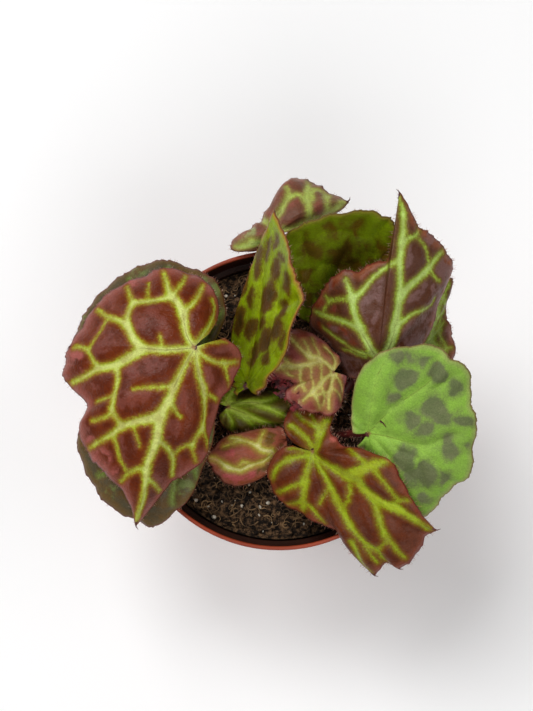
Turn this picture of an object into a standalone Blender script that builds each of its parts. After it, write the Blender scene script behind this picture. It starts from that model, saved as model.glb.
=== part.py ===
"""A potted begonia: twelve patterned leaves on red petioles, a creeping rhizome, soil and a nursery pot.

The pot stands on the origin with +Z up, and the plant's front looks along -Y. Lengths in the tables are
millimetres, and MM turns them into Blender's metres.
"""

import math
from typing import NamedTuple

import bmesh
import bpy
from mathutils import Vector, noise

MM = 0.001
GAP = 0.3 * MM
MERGE = 0.00005

# Pot: a 12 cm nursery pot with a stepped collar
POT_HEIGHT = 100 * MM
RIM_RADIUS = 60 * MM
BASE_RADIUS = 43 * MM
COLLAR_HEIGHT = 11 * MM
COLLAR_STEP = 2.2 * MM
WALL = 1.6 * MM
FLOOR = 2.4 * MM
POT_SIDES = 40
DRAIN_HOLES = 6
DRAIN_RADIUS = 4 * MM
DRAIN_CIRCLE = 27 * MM

# Soil: filled to just under the collar, a little higher in the middle
SOIL_TOP = POT_HEIGHT - 12.5 * MM
SOIL_CROWN = 1.2 * MM
SOIL_LUMP = 1.1 * MM
LUMP_SIZE = 9 * MM
SOIL_RINGS = 6
SOIL_SIDES = 32

# Rhizome: a knobbly stem that creeps across the soil, half sunk in it
RHIZOME_RADIUS = 5.5 * MM
RHIZOME_ROUTE = ((-27, 14, 86), (-20, 10.5, 88), (-12, 6, 88), (2, 0, 88), (11, -5.5, 88), (17, -9.5, 86))
RHIZOME_KNOBS = (0.62, 1.0, 0.9, 1.04, 0.94, 0.6)
STEPS_PER_KNOB = 2
SOCKET_FLOOR = 85 * MM
HOLE_FLOOR = 79 * MM
STEM_CLEARANCE = 0.4 * MM

# Leaves: a thin blade on a round petiole
BLADE = 0.8 * MM
TOOTH = 0.7 * MM
WAVE = 0.8 * MM
WAVES_ROUND = 11
CROWN = 1.1 * MM
WIDE_PANEL = 30
STEPS_PER_POINT = 2
RINGS = 4
STEPS_PER_KNEE = 4
PETIOLE_START = 93 * MM
PETIOLE_TAPER = 0.25

TERRACOTTA = (0.35, 0.07, 0.025)
EARTH = (0.03, 0.018, 0.012)
RED_STEM = (0.12, 0.015, 0.012)
RED_BROWN = (0.19, 0.045, 0.02)
DARK_OLIVE = (0.07, 0.09, 0.01)
YELLOW_GREEN = (0.23, 0.32, 0.02)
SAGE_GREEN = (0.22, 0.4, 0.06)
PURPLE_BROWN = (0.13, 0.04, 0.035)
ROSE_BROWN = (0.33, 0.12, 0.09)


class Leaf(NamedTuple):
    """A leaf. Its margin is a round of (bearing in degrees, reach, rise), counted from the petiole's end.

    veins and tips are places in the margin: where a main vein ends, and where the margin has a sharp corner.
    """

    name: str
    colour: tuple
    petiole: float
    foot: tuple
    on_rhizome: bool
    knees: tuple
    attach: tuple
    arch: float
    veins: tuple
    tips: tuple
    margin: tuple


LEAVES = (
    Leaf(
        name="leaf_front_left",
        colour=RED_BROWN,
        petiole=3.4,
        foot=(-21, 10.5),
        on_rhizome=True,
        knees=((-22, 11, 106), (-25, 12.5, 122)),
        attach=(-32, 14, 140),
        arch=6,
        veins=(2, 5, 8, 12, 16, 19, 23, 26),
        tips=(10, 12, 19),
        margin=(
            (45, 8, -3), (56, 15, -6), (69, 22, -7), (83, 27, -9), (96, 30, -10), (110, 34, -11),
            (124, 35, -12), (138, 38, -12), (155, 42, -13), (167, 44, -15), (176, 48, -17), (185, 49, -19),
            (192, 55, -23), (205, 45, -17), (212, 52, -19), (221, 55, -20), (231, 56, -21), (241, 58, -24),
            (247, 63, -27), (250, 69, -31), (253, 61, -28), (259, 49, -24), (266, 45, -21), (276, 39, -17),
            (280, 32, -13), (297, 21, -10), (324, 18, -9), (357, 17, -8), (381, 12, -5),
        ),
    ),
    Leaf(
        name="leaf_left_under",
        colour=DARK_OLIVE,
        petiole=3.0,
        foot=(-28, 3),
        on_rhizome=False,
        knees=((-29, 3, 104),),
        attach=(-34, 6, 120),
        arch=4,
        veins=(2, 6, 10, 14, 18, 22, 25),
        tips=(),
        margin=(
            (55, 14, 2), (60, 25, 2), (66, 31, 1), (74, 37, 0), (82, 40, -1), (93, 43, -3), (102, 47, -5),
            (112, 48, -6), (122, 49, -7), (133, 49, -8), (144, 49, -9), (156, 49, -10), (166, 48, -11),
            (177, 43, -11), (190, 40, -11), (200, 43, -12), (206, 49, -13), (216, 53, -14), (228, 56, -15),
            (238, 58, -16), (248, 58, -17), (256, 58, -17), (263, 51, -14), (270, 45, -11), (277, 35, -7),
            (288, 26, -4), (302, 17, -2), (315, 9, 0),
        ),
    ),
    Leaf(
        name="leaf_upright",
        colour=YELLOW_GREEN,
        petiole=3.2,
        foot=(-11, 8),
        on_rhizome=True,
        knees=((-11, 8, 102),),
        attach=(-13, 3, 112),
        arch=-3,
        veins=(5, 10, 13, 17, 20),
        tips=(10, 15),
        margin=(
            (218, 5, -3), (131, 7, -8), (107, 11, -10), (105, 20, -12), (99, 29, -12), (94, 37, -10),
            (90, 44, -6), (87, 50, 0), (84, 56, 7), (82, 60, 15), (80, 65, 22), (76, 59, 24), (71, 52, 29),
            (68, 46, 32), (62, 40, 34), (52, 35, 36), (50, 30, 34), (45, 25, 31), (35, 20, 26), (24, 13, 18),
            (-9, 7, 8), (-43, 5, 2),
        ),
    ),
    Leaf(
        name="leaf_back",
        colour=PURPLE_BROWN,
        petiole=3.0,
        foot=(-3, 13),
        on_rhizome=False,
        knees=((-3, 22, 98), (-4, 42, 101), (-4, 57, 106)),
        attach=(-3, 63, 112),
        arch=4,
        veins=(4, 8, 11, 13),
        tips=(13,),
        margin=(
            (226, 6, -3), (208, 11, -6), (197, 15, -8), (185, 16, -8), (174, 13, -7), (154, 9, -5),
            (119, 8, -4), (92, 13, -3), (82, 19, -4), (74, 24, -5), (65, 27, -6), (53, 28, -5), (38, 29, -4),
            (26, 34, -3), (22, 29, -2), (20, 21, -1), (16, 14, 0), (6, 7, 1),
        ),
    ),
    Leaf(
        name="leaf_back_inner",
        colour=DARK_OLIVE,
        petiole=3.0,
        foot=(11, 17),
        on_rhizome=False,
        knees=((13, 23, 96),),
        attach=(17, 31, 99),
        arch=-5,
        veins=(3, 7, 10, 13, 16),
        tips=(),
        margin=(
            (198, 5, 3), (176, 9, 7), (154, 12, 13), (142, 16, 20), (131, 22, 23), (125, 27, 27),
            (119, 31, 31), (107, 32, 36), (94, 32, 40), (79, 35, 40), (66, 39, 39), (57, 40, 37),
            (49, 41, 34), (39, 39, 29), (30, 36, 23), (22, 30, 17), (15, 22, 12), (5, 14, 8), (-9, 7, 3),
        ),
    ),
    Leaf(
        name="leaf_back_right",
        colour=PURPLE_BROWN,
        petiole=4.4,
        foot=(22, -1),
        on_rhizome=False,
        knees=((25, 2, 98), (31, 9, 106)),
        attach=(37, 10, 127),
        arch=4,
        veins=(3, 6, 9, 13, 16, 19),
        tips=(10, 13),
        margin=(
            (216, 7, -8), (198, 10, -16), (170, 14, -20), (154, 20, -20), (147, 28, -20), (140, 32, -12),
            (128, 34, -4), (112, 37, 3), (101, 35, 4), (93, 37, 6), (89, 38, 8), (87, 45, 9), (85, 54, 11),
            (82, 64, 12), (77, 57, 11), (73, 53, 9), (64, 52, 4), (57, 50, 0), (52, 48, -3),
            (49, 42, -5), (45, 34, -6), (33, 25, -7), (18, 16, -7), (-8, 7, -4),
        ),
    ),
    Leaf(
        name="leaf_right_under",
        colour=PURPLE_BROWN,
        petiole=2.6,
        foot=(33, 3),
        on_rhizome=False,
        knees=((37, 6, 97), (48, 14, 102)),
        attach=(54, 17, 106),
        arch=2,
        veins=(1, 4, 7, 10),
        tips=(),
        margin=(
            (131, 6, 1), (102, 13, 3), (85, 22, 5), (74, 29, 6), (65, 32, 5), (61, 29, 3), (58, 23, 1),
            (48, 18, 0), (27, 16, -2), (-6, 15, -2), (-35, 15, -2), (-62, 12, -1), (-94, 6, 0),
        ),
    ),
    Leaf(
        name="leaf_right",
        colour=SAGE_GREEN,
        petiole=3.8,
        foot=(21, -16),
        on_rhizome=False,
        knees=((24, -15, 102),),
        attach=(34, -16, 120),
        arch=3,
        veins=(3, 6, 9, 13, 16, 19),
        tips=(),
        margin=(
            (176, 6, 0), (130, 10, 2), (111, 16, 5), (100, 22, 11), (89, 26, 15), (78, 30, 18), (64, 34, 18),
            (52, 39, 17), (42, 40, 15), (33, 43, 13), (24, 41, 11), (15, 39, 10), (4, 40, 8), (-9, 39, 5),
            (-22, 41, 1), (-30, 38, -2), (-41, 37, -7), (-50, 38, -12), (-56, 36, -15), (-60, 29, -15),
            (-65, 19, -12), (-80, 8, -8), (-133, 6, -5),
        ),
    ),
    Leaf(
        name="leaf_centre",
        colour=ROSE_BROWN,
        petiole=2.8,
        foot=(7, 0),
        on_rhizome=True,
        knees=((11, 2.5, 103),),
        attach=(21, 8, 117),
        arch=3,
        veins=(3, 7, 11, 14),
        tips=(),
        margin=(
            (55, 5, 0), (92, 8, 0), (113, 14, 0), (124, 19, 0), (135, 23, -1), (148, 21, 0), (161, 21, 1),
            (171, 24, 0), (182, 24, -1), (187, 21, -1), (197, 16, 0), (203, 20, 0), (218, 20, -1),
            (234, 18, -2), (250, 16, -3), (267, 16, -3), (284, 12, -3), (303, 7, -2), (343, 5, -1),
        ),
    ),
    Leaf(
        name="leaf_left_inner",
        colour=DARK_OLIVE,
        petiole=2.4,
        foot=(-17, -4),
        on_rhizome=False,
        knees=((-18, -4, 98),),
        attach=(-20, -4, 104),
        arch=2,
        veins=(3, 6, 8, 10),
        tips=(),
        margin=(
            (158, 5, -2), (105, 7, -4), (77, 9, -5), (44, 11, -5), (28, 17, -4), (19, 22, -2), (6, 24, 0),
            (-5, 25, 0), (-15, 24, -4), (-23, 20, -8), (-36, 15, -6), (-65, 11, -6), (-96, 8, -6),
            (-142, 5, -4),
        ),
    ),
    Leaf(
        name="leaf_front_small",
        colour=ROSE_BROWN,
        petiole=2.4,
        foot=(5, -15),
        on_rhizome=False,
        knees=((4.5, -15.5, 97),),
        attach=(3, -17, 103),
        arch=2,
        veins=(3, 7, 10),
        tips=(7,),
        margin=(
            (268, 5, -1), (253, 9, -3), (237, 16, -4), (227, 23, -5), (218, 28, -5), (207, 30, -3),
            (199, 31, -1), (192, 32, 1), (187, 29, 1), (177, 24, 1), (171, 18, 1), (158, 11, 1), (138, 7, 0),
            (108, 5, 0),
        ),
    ),
    Leaf(
        name="leaf_front_right",
        colour=RED_BROWN,
        petiole=3.2,
        foot=(11, -6),
        on_rhizome=True,
        knees=((11.5, -11, 100),),
        attach=(13, -22, 110),
        arch=4,
        veins=(4, 9, 13, 16, 18, 22, 25),
        tips=(4, 13, 16, 18),
        margin=(
            (143, 12, -1), (127, 17, -2), (109, 18, -2), (85, 16, -1), (60, 16, 0), (49, 10, 2), (10, 11, 5),
            (1, 17, 9), (-6, 23, 12), (-10, 29, 13), (-18, 34, 11), (-26, 41, 8), (-31, 49, 3),
            (-33, 56, 1), (-37, 54, -2), (-45, 56, -6), (-53, 56, -11), (-56, 51, -10), (-63, 53, -14),
            (-67, 45, -11), (-70, 39, -9), (-73, 32, -6), (-82, 28, -5), (-99, 24, -6), (-123, 22, -7),
            (-145, 20, -6), (-165, 15, -4), (-185, 9, -1),
        ),
    ),
)


def clear_scene():
    for obj in list(bpy.data.objects):
        bpy.data.objects.remove(obj, do_unlink=True)


def new_collection(name, hidden=False):
    collection = bpy.data.collections.new(name)
    collection.hide_render = hidden
    bpy.context.scene.collection.children.link(collection)
    return collection


def material(name, colour, roughness):
    made = bpy.data.materials.new(name)
    made.use_nodes = True
    shader = made.node_tree.nodes["Principled BSDF"]
    shader.inputs["Base Color"].default_value = (*colour, 1)
    shader.inputs["Roughness"].default_value = roughness
    made.diffuse_color = (*colour, 1)
    return made


def add_object(name, data, collection):
    obj = bpy.data.objects.new(name, data)
    collection.objects.link(obj)
    return obj


def add_mesh(name, bm, collection, smooth_angle=50):
    mesh = bpy.data.meshes.new(name)
    bm.to_mesh(mesh)
    bm.free()
    mesh.shade_smooth()
    mesh.set_sharp_from_angle(angle=math.radians(smooth_angle))
    return add_object(name, mesh, collection)


def make_helper(obj):
    obj.hide_render = True
    obj.display_type = "WIRE"
    return obj


def in_metres(points):
    return [Vector(point) * MM for point in points]


def hermite(start, leaving, end, arriving, t):
    """The point at t, from 0 to 1, on the cubic between two points with these tangents."""
    s = 1 - t
    from_start = start * (1 + 2 * t) * s * s + leaving * (t * s * s)
    return from_start + end * (t * t * (3 - 2 * t)) - arriving * (t * t * s)


def smooth_line(points, corners, steps):
    """Points on a smooth line through the given ones, which keeps a corner at each place in corners."""
    last = len(points) - 1
    line = []
    for i in range(last):
        here, there = points[i], points[i + 1]
        leaving = there - here if i == 0 or i in corners else (there - points[i - 1]) / 2
        arriving = there - here if i + 1 == last or i + 1 in corners else (points[i + 2] - here) / 2
        line += [hermite(here, leaving, there, arriving, step / steps) for step in range(steps)]
    return line + [points[last]]


def tube(name, points, radii, collection, sides_level=2):
    """A closed tube mesh along the points, with a radius at each of them."""
    curve = bpy.data.curves.new(name, "CURVE")
    curve.dimensions = "3D"
    curve.bevel_depth = 1
    curve.bevel_resolution = sides_level
    curve.use_fill_caps = True
    spline = curve.splines.new("POLY")
    spline.points.add(len(points) - 1)
    for place, point, radius in zip(spline.points, points, radii):
        place.co = (*point, 1)
        place.radius = radius
    guide = add_object(name, curve, collection)
    bpy.context.view_layer.update()
    mesh = bpy.data.meshes.new_from_object(guide.evaluated_get(bpy.context.evaluated_depsgraph_get()))
    bpy.data.objects.remove(guide)
    bm = bmesh.new()
    bm.from_mesh(mesh)
    bpy.data.meshes.remove(mesh)
    bmesh.ops.remove_doubles(bm, verts=bm.verts, dist=MERGE)
    bmesh.ops.recalc_face_normals(bm, faces=bm.faces)
    return add_mesh(name, bm, collection)


def upright_pin(name, place, radius, bottom, top, collection, sides=16):
    """A vertical cylinder between two heights, used to bore a hole."""
    bm = bmesh.new()
    bmesh.ops.create_cone(
        bm, cap_ends=True, segments=sides, radius1=radius, radius2=radius, depth=top - bottom
    )
    bmesh.ops.translate(bm, verts=bm.verts, vec=(place[0], place[1], (top + bottom) / 2))
    return make_helper(add_mesh(name, bm, collection))


def cut(obj, cutters):
    for cutter in cutters:
        boolean = obj.modifiers.new(cutter.name, "BOOLEAN")
        boolean.operation = "DIFFERENCE"
        boolean.object = cutter


def wall_radius(height):
    """The pot's outer radius below its collar, at this height."""
    under_collar = RIM_RADIUS - COLLAR_STEP
    return BASE_RADIUS + (under_collar - BASE_RADIUS) * height / (POT_HEIGHT - COLLAR_HEIGHT)


def pot_profile():
    """From the middle of the floor, up inside, over the rounded rim, down the outside to the flat base."""
    step = POT_HEIGHT - COLLAR_HEIGHT
    lip = WALL / 2
    inside = [
        (0, FLOOR),
        (wall_radius(FLOOR) - WALL - lip, FLOOR),
        (wall_radius(FLOOR + lip) - WALL, FLOOR + lip),
        (wall_radius(step) - WALL, step - lip),
        (RIM_RADIUS - WALL - lip / 2, step + lip),
        (RIM_RADIUS - WALL, POT_HEIGHT - lip),
    ]
    rim = [
        (RIM_RADIUS - lip + lip * math.cos(angle), POT_HEIGHT - lip + lip * math.sin(angle))
        for angle in (math.pi * 3 / 4, math.pi / 2, math.pi / 4)
    ]
    outside = [
        (RIM_RADIUS, POT_HEIGHT - lip),
        (RIM_RADIUS - lip / 2, step),
        (wall_radius(step), step - lip),
        (wall_radius(0), lip),
        (wall_radius(0) - lip / 2, 0),
        (0, 0),
    ]
    return inside + rim + outside


def make_pot(collection, cutters):
    bm = bmesh.new()
    verts = [bm.verts.new((radius, 0, height)) for radius, height in pot_profile()]
    for a, b in zip(verts, verts[1:]):
        bm.edges.new((a, b))
    pot = add_mesh("pot", bm, collection, smooth_angle=35)
    screw = pot.modifiers.new("turned", "SCREW")
    screw.steps = POT_SIDES
    screw.render_steps = POT_SIDES
    screw.use_merge_vertices = True
    screw.merge_threshold = MERGE
    screw.use_normal_calculate = True
    drains = []
    for i in range(DRAIN_HOLES):
        angle = 2 * math.pi * i / DRAIN_HOLES
        place = (DRAIN_CIRCLE * math.cos(angle), DRAIN_CIRCLE * math.sin(angle))
        drains.append(upright_pin(f"drain_{i}", place, DRAIN_RADIUS, -FLOOR, 3 * FLOOR, cutters))
    cut(pot, drains)
    pot.data.materials.append(material("pot_plastic", TERRACOTTA, roughness=0.45))
    return pot


def soil_height(x, y, spread):
    """The soil's lumpy top: highest in the middle and flat at the edge."""
    crown = SOIL_CROWN * (1 - spread * spread)
    lump = SOIL_LUMP * noise.noise(Vector((x, y, 0)) / LUMP_SIZE) * (1 - spread**4)
    return SOIL_TOP + crown + lump


def make_soil(collection):
    top_radius = wall_radius(SOIL_TOP) - WALL - 2 * GAP
    floor = FLOOR + GAP
    low_radius = wall_radius(floor) - 2 * WALL - 2 * GAP
    bm = bmesh.new()
    bmesh.ops.create_grid(bm, x_segments=SOIL_SIDES, y_segments=SOIL_RINGS, size=0.5)
    for vert in bm.verts:
        angle = 2 * math.pi * (vert.co.x + 0.5)
        spread = vert.co.y + 0.5
        x = top_radius * spread * math.cos(angle)
        y = top_radius * spread * math.sin(angle)
        vert.co = (x, y, soil_height(x, y, spread))
    bmesh.ops.remove_doubles(bm, verts=bm.verts, dist=MERGE)
    edge = [e for e in bm.edges if e.is_boundary]
    side = bmesh.ops.extrude_edge_only(bm, edges=edge)["geom"]
    foot = [item for item in side if isinstance(item, bmesh.types.BMVert)]
    for vert in foot:
        outward = Vector((vert.co.x, vert.co.y, 0)).normalized()
        vert.co = outward * low_radius + Vector((0, 0, floor))
    bmesh.ops.contextual_create(bm, geom=[e for e in bm.edges if e.is_boundary])
    bmesh.ops.triangulate(bm, faces=bm.faces)
    bmesh.ops.recalc_face_normals(bm, faces=bm.faces)
    soil = add_mesh("soil", bm, collection)
    soil.data.materials.append(material("potting_soil", EARTH, roughness=0.95))
    return soil


def rhizome_tube(name, extra, collection):
    """The rhizome, or with extra on its radius the trough that it lies in."""
    route = smooth_line(in_metres(RHIZOME_ROUTE), (), STEPS_PER_KNOB)
    thickness = smooth_line([Vector((knob, 0, 0)) for knob in RHIZOME_KNOBS], (), STEPS_PER_KNOB)
    radii = [RHIZOME_RADIUS * knob.x + extra for knob in thickness]
    first = (route[0] - route[1]).normalized()
    last = (route[-1] - route[-2]).normalized()
    route[0] = route[0] + first * extra
    route[-1] = route[-1] + last * extra
    return tube(name, route, radii, collection, sides_level=3)


def margin_of(leaf):
    """The margin's named points in metres, measured from the petiole's end."""
    points = []
    for bearing, reach, rise in leaf.margin:
        angle = math.radians(bearing)
        points.append(Vector((reach * math.cos(angle), reach * math.sin(angle), rise)) * MM)
    return points


def blade_normal(rays):
    """The blade's mean upward normal, from the areas between neighbouring rays."""
    total = Vector()
    for a, b in zip(rays, rays[1:]):
        total += b.cross(a)
    return -total.normalized() if total.z < 0 else total.normalized()


def bearing_at(leaf, place):
    """The bearing in degrees at this place along the margin, which runs from one named point to the next."""
    index = min(int(place), len(leaf.margin) - 2)
    here, there = leaf.margin[index][0], leaf.margin[index + 1][0]
    return here + (there - here) * (place - index)


def between_veins(leaf, bearing):
    """How far the blade swells at this bearing: 0 on a main vein, and 1 midway in a wide panel."""
    ends = [leaf.margin[vein][0] for vein in leaf.veins]
    for a, b in zip(ends, ends[1:]):
        t = (bearing - a) / (b - a)
        if 0 <= t <= 1:
            return 4 * t * (1 - t) * min(1, abs(b - a) / WIDE_PANEL)
    return 0


def outward(rays, column, up):
    """The direction in the sheet that leads square out across the margin at this column."""
    before, after = rays[max(column - 1, 0)], rays[min(column + 1, len(rays) - 1)]
    across = (after - before).cross(up).normalized()
    return -across if across.dot(rays[column]) < 0 else across


def make_blade(leaf, collection):
    """The blade as an open sheet of rays from the petiole, arched, crowned and waved at the edge."""
    named = margin_of(leaf)
    rays = smooth_line(named, leaf.tips, STEPS_PER_POINT)
    up = blade_normal(rays)
    attach = Vector(leaf.attach) * MM
    mean_reach = sum(ray.length for ray in rays) / len(rays)
    columns = len(rays) - 1
    bm = bmesh.new()
    bmesh.ops.create_grid(bm, x_segments=columns, y_segments=RINGS, size=0.5)
    for vert in bm.verts:
        column = round((vert.co.x + 0.5) * columns)
        out = round((vert.co.y + 0.5) * RINGS) / RINGS
        ray = rays[column]
        bearing = bearing_at(leaf, column / STEPS_PER_POINT)
        tooth = TOOTH * (column % 2) if 0 < column < columns else 0
        lift = leaf.arch * MM * 4 * out * (1 - out) * ray.length / mean_reach
        lift += CROWN * between_veins(leaf, bearing) * math.sin(math.pi * out) * out
        lift += WAVE * math.sin(math.radians(bearing) * WAVES_ROUND) * out**3
        vert.co = attach + ray * out + outward(rays, column, up) * tooth * out**4 + up * lift
    bmesh.ops.remove_doubles(bm, verts=bm.verts, dist=MERGE)
    bmesh.ops.triangulate(bm, faces=bm.faces, quad_method="SHORT_EDGE")
    blade = add_mesh(leaf.name, bm, collection)
    thicken = blade.modifiers.new("thickness", "SOLIDIFY")
    thicken.thickness = BLADE
    thicken.offset = 0
    return blade


def petiole_route(leaf):
    """From the foot straight up out of its hole, then round the knees to the blade."""
    x, y = (value * MM for value in leaf.foot)
    floor = SOCKET_FLOOR if leaf.on_rhizome else HOLE_FLOOR
    foot = Vector((x, y, floor + GAP))
    start = Vector((x, y, PETIOLE_START))
    bends = [start, *in_metres(leaf.knees), Vector(leaf.attach) * MM]
    rising = Vector((0, 0, (bends[1] - start).length))
    first = [hermite(start, rising, bends[1], (bends[2] - start) / 2, i / STEPS_PER_KNEE)
             for i in range(STEPS_PER_KNEE)]
    return [foot, *first, *smooth_line(bends, (), STEPS_PER_KNEE)[STEPS_PER_KNEE:]]


def make_petiole(leaf, helpers):
    route = petiole_route(leaf)
    ends = len(route) - 1
    radii = [leaf.petiole / 2 * MM * (1 - PETIOLE_TAPER * i / ends) for i in range(ends + 1)]
    return make_helper(tube(f"petiole_of_{leaf.name}", route, radii, helpers, sides_level=1))


def make_leaf(leaf, collection, helpers):
    blade = make_blade(leaf, collection)
    join = blade.modifiers.new("petiole", "BOOLEAN")
    join.operation = "UNION"
    join.object = make_petiole(leaf, helpers)
    blade.data.materials.append(material(f"{leaf.name}_skin", leaf.colour, roughness=0.4))
    return blade


def petiole_hole(leaf, helpers):
    place = (leaf.foot[0] * MM, leaf.foot[1] * MM)
    floor = SOCKET_FLOOR if leaf.on_rhizome else HOLE_FLOOR
    radius = leaf.petiole / 2 * MM + STEM_CLEARANCE
    return upright_pin(f"hole_of_{leaf.name}", place, radius, floor, POT_HEIGHT, helpers)


def make_ground(collection, helpers):
    """The soil and the rhizome, with the trough between them and the holes that the petioles stand in."""
    soil = make_soil(collection)
    rhizome = rhizome_tube("rhizome", 0, collection)
    rhizome.data.materials.append(material("rhizome_skin", RED_STEM, roughness=0.6))
    trough = make_helper(rhizome_tube("trough", GAP, helpers))
    in_soil = [petiole_hole(leaf, helpers) for leaf in LEAVES if not leaf.on_rhizome]
    in_rhizome = [petiole_hole(leaf, helpers) for leaf in LEAVES if leaf.on_rhizome]
    cut(soil, [trough, *in_soil])
    cut(rhizome, in_rhizome)


def main():
    clear_scene()
    plant = new_collection("potted_begonia")
    helpers = new_collection("cutters", hidden=True)
    make_pot(plant, helpers)
    make_ground(plant, helpers)
    for leaf in LEAVES:
        make_leaf(leaf, plant, helpers)


if __name__ == "__main__":
    main()
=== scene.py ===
"""The looks of a potted begonia: waved, veined leaves on hairy petioles, a creeping rhizome, peat and a pot.

Lengths in the tables are millimetres, and MM turns them into metres. Colours are as a screen shows them,
from 0 to 255. Veins, blotches and tinted patches are drawn in pixels of the photograph's frame, and PhotoView
lays them on the leaves. Rows is an array that holds one point or value a row.
"""

import logging
import math
import random
from collections.abc import Callable, Sequence
from dataclasses import dataclass, field
from enum import Enum

import bmesh
import bpy
import numpy as np
from mathutils import Matrix, Vector, kdtree, noise


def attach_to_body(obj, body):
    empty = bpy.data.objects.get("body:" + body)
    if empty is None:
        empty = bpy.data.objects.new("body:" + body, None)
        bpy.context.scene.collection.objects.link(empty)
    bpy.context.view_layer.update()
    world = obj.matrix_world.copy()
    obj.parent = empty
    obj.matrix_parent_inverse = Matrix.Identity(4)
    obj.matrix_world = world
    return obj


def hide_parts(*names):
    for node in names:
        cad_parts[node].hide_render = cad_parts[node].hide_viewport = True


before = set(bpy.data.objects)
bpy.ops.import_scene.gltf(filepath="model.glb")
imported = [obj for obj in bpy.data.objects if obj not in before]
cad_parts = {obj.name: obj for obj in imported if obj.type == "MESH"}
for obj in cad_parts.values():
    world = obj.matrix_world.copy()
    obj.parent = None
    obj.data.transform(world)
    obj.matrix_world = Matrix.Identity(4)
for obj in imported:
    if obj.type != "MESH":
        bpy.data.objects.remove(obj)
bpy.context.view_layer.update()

MM = 0.001
MERGE = 0.00002
NOISE_SEED = 1795635084
LOG = logging.getLogger("potted_begonia")

Place = tuple[float, float, float]
Spot = tuple[float, float]
Colour = tuple[float, float, float]
Socket = bpy.types.NodeSocket
Node = bpy.types.Node
Material = bpy.types.Material
Rows = np.ndarray


def show(item: bpy.types.Object) -> None:
    """Add an object to the scene."""
    bpy.context.scene.collection.objects.link(item)


def linear(colour: Colour) -> Colour:
    """Turn a colour as a screen shows it, from 0 to 255, into the linear values that shaders take."""
    parts = [value / 255 for value in colour]
    return tuple(part / 12.92 if part <= 0.04045 else ((part + 0.055) / 1.055) ** 2.4 for part in parts)


# How the photograph was taken


@dataclass(frozen=True)
class PhotoView:
    """The place that the photograph was taken from, and how its pixels fall on the plant."""

    eye: Place = (-5, -71.66, 683.62)
    aim: Place = (-5, 17, 100)
    lens: float = 75
    sensor: float = 36
    width: int = 533
    height: int = 711

    def axes(self) -> tuple[Rows, Rows, Rows]:
        """Work out which way the picture looks.

        Returns:
            The directions right, up and forward in the picture.
        """
        forward = np.subtract(self.aim, self.eye) / np.linalg.norm(np.subtract(self.aim, self.eye))
        right = np.cross(forward, (0, 0, 1))
        right /= np.linalg.norm(right)
        return right, np.cross(right, forward), forward

    def focal(self) -> float:
        """Return the focal length in pixels."""
        return self.lens / self.sensor * self.height

    def pixels(self, points: Rows) -> Rows:
        """Find where points fall in the photograph.

        Args:
            points: Points in metres, one a row.

        Returns:
            Their pixels, one row each.
        """
        right, up, forward = self.axes()
        away = points / MM - np.array(self.eye)
        depth = away @ forward
        across = self.width / 2 + self.focal() * (away @ right) / depth
        down = self.height / 2 - self.focal() * (away @ up) / depth
        return np.stack([across, down], axis=1)

    def on_level(self, spot: Spot, height: float) -> Vector:
        """Find the point of a level plane that a pixel shows.

        Args:
            spot: The pixel.
            height: The plane's height in metres.

        Returns:
            The point in metres.
        """
        right, up, forward = self.axes()
        across = (spot[0] - self.width / 2) / self.focal()
        down = (spot[1] - self.height / 2) / self.focal()
        ray = forward + right * across - up * down
        return Vector((np.array(self.eye) + ray * (height / MM - self.eye[2]) / ray[2]) * MM)

    def make_camera(self) -> None:
        """Put the scene's camera where the photograph was taken from."""
        data = bpy.data.cameras.new("photo_camera")
        data.lens = self.lens
        data.sensor_width = self.sensor
        data.clip_start = 10 * MM
        camera = bpy.data.objects.new("photo_camera", data)
        camera.location = Vector(self.eye) * MM
        camera.rotation_euler = (Vector(self.aim) - Vector(self.eye)).to_track_quat("-Z", "Y").to_euler()
        show(camera)
        bpy.context.scene.camera = camera


# Building blocks of a node tree


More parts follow.
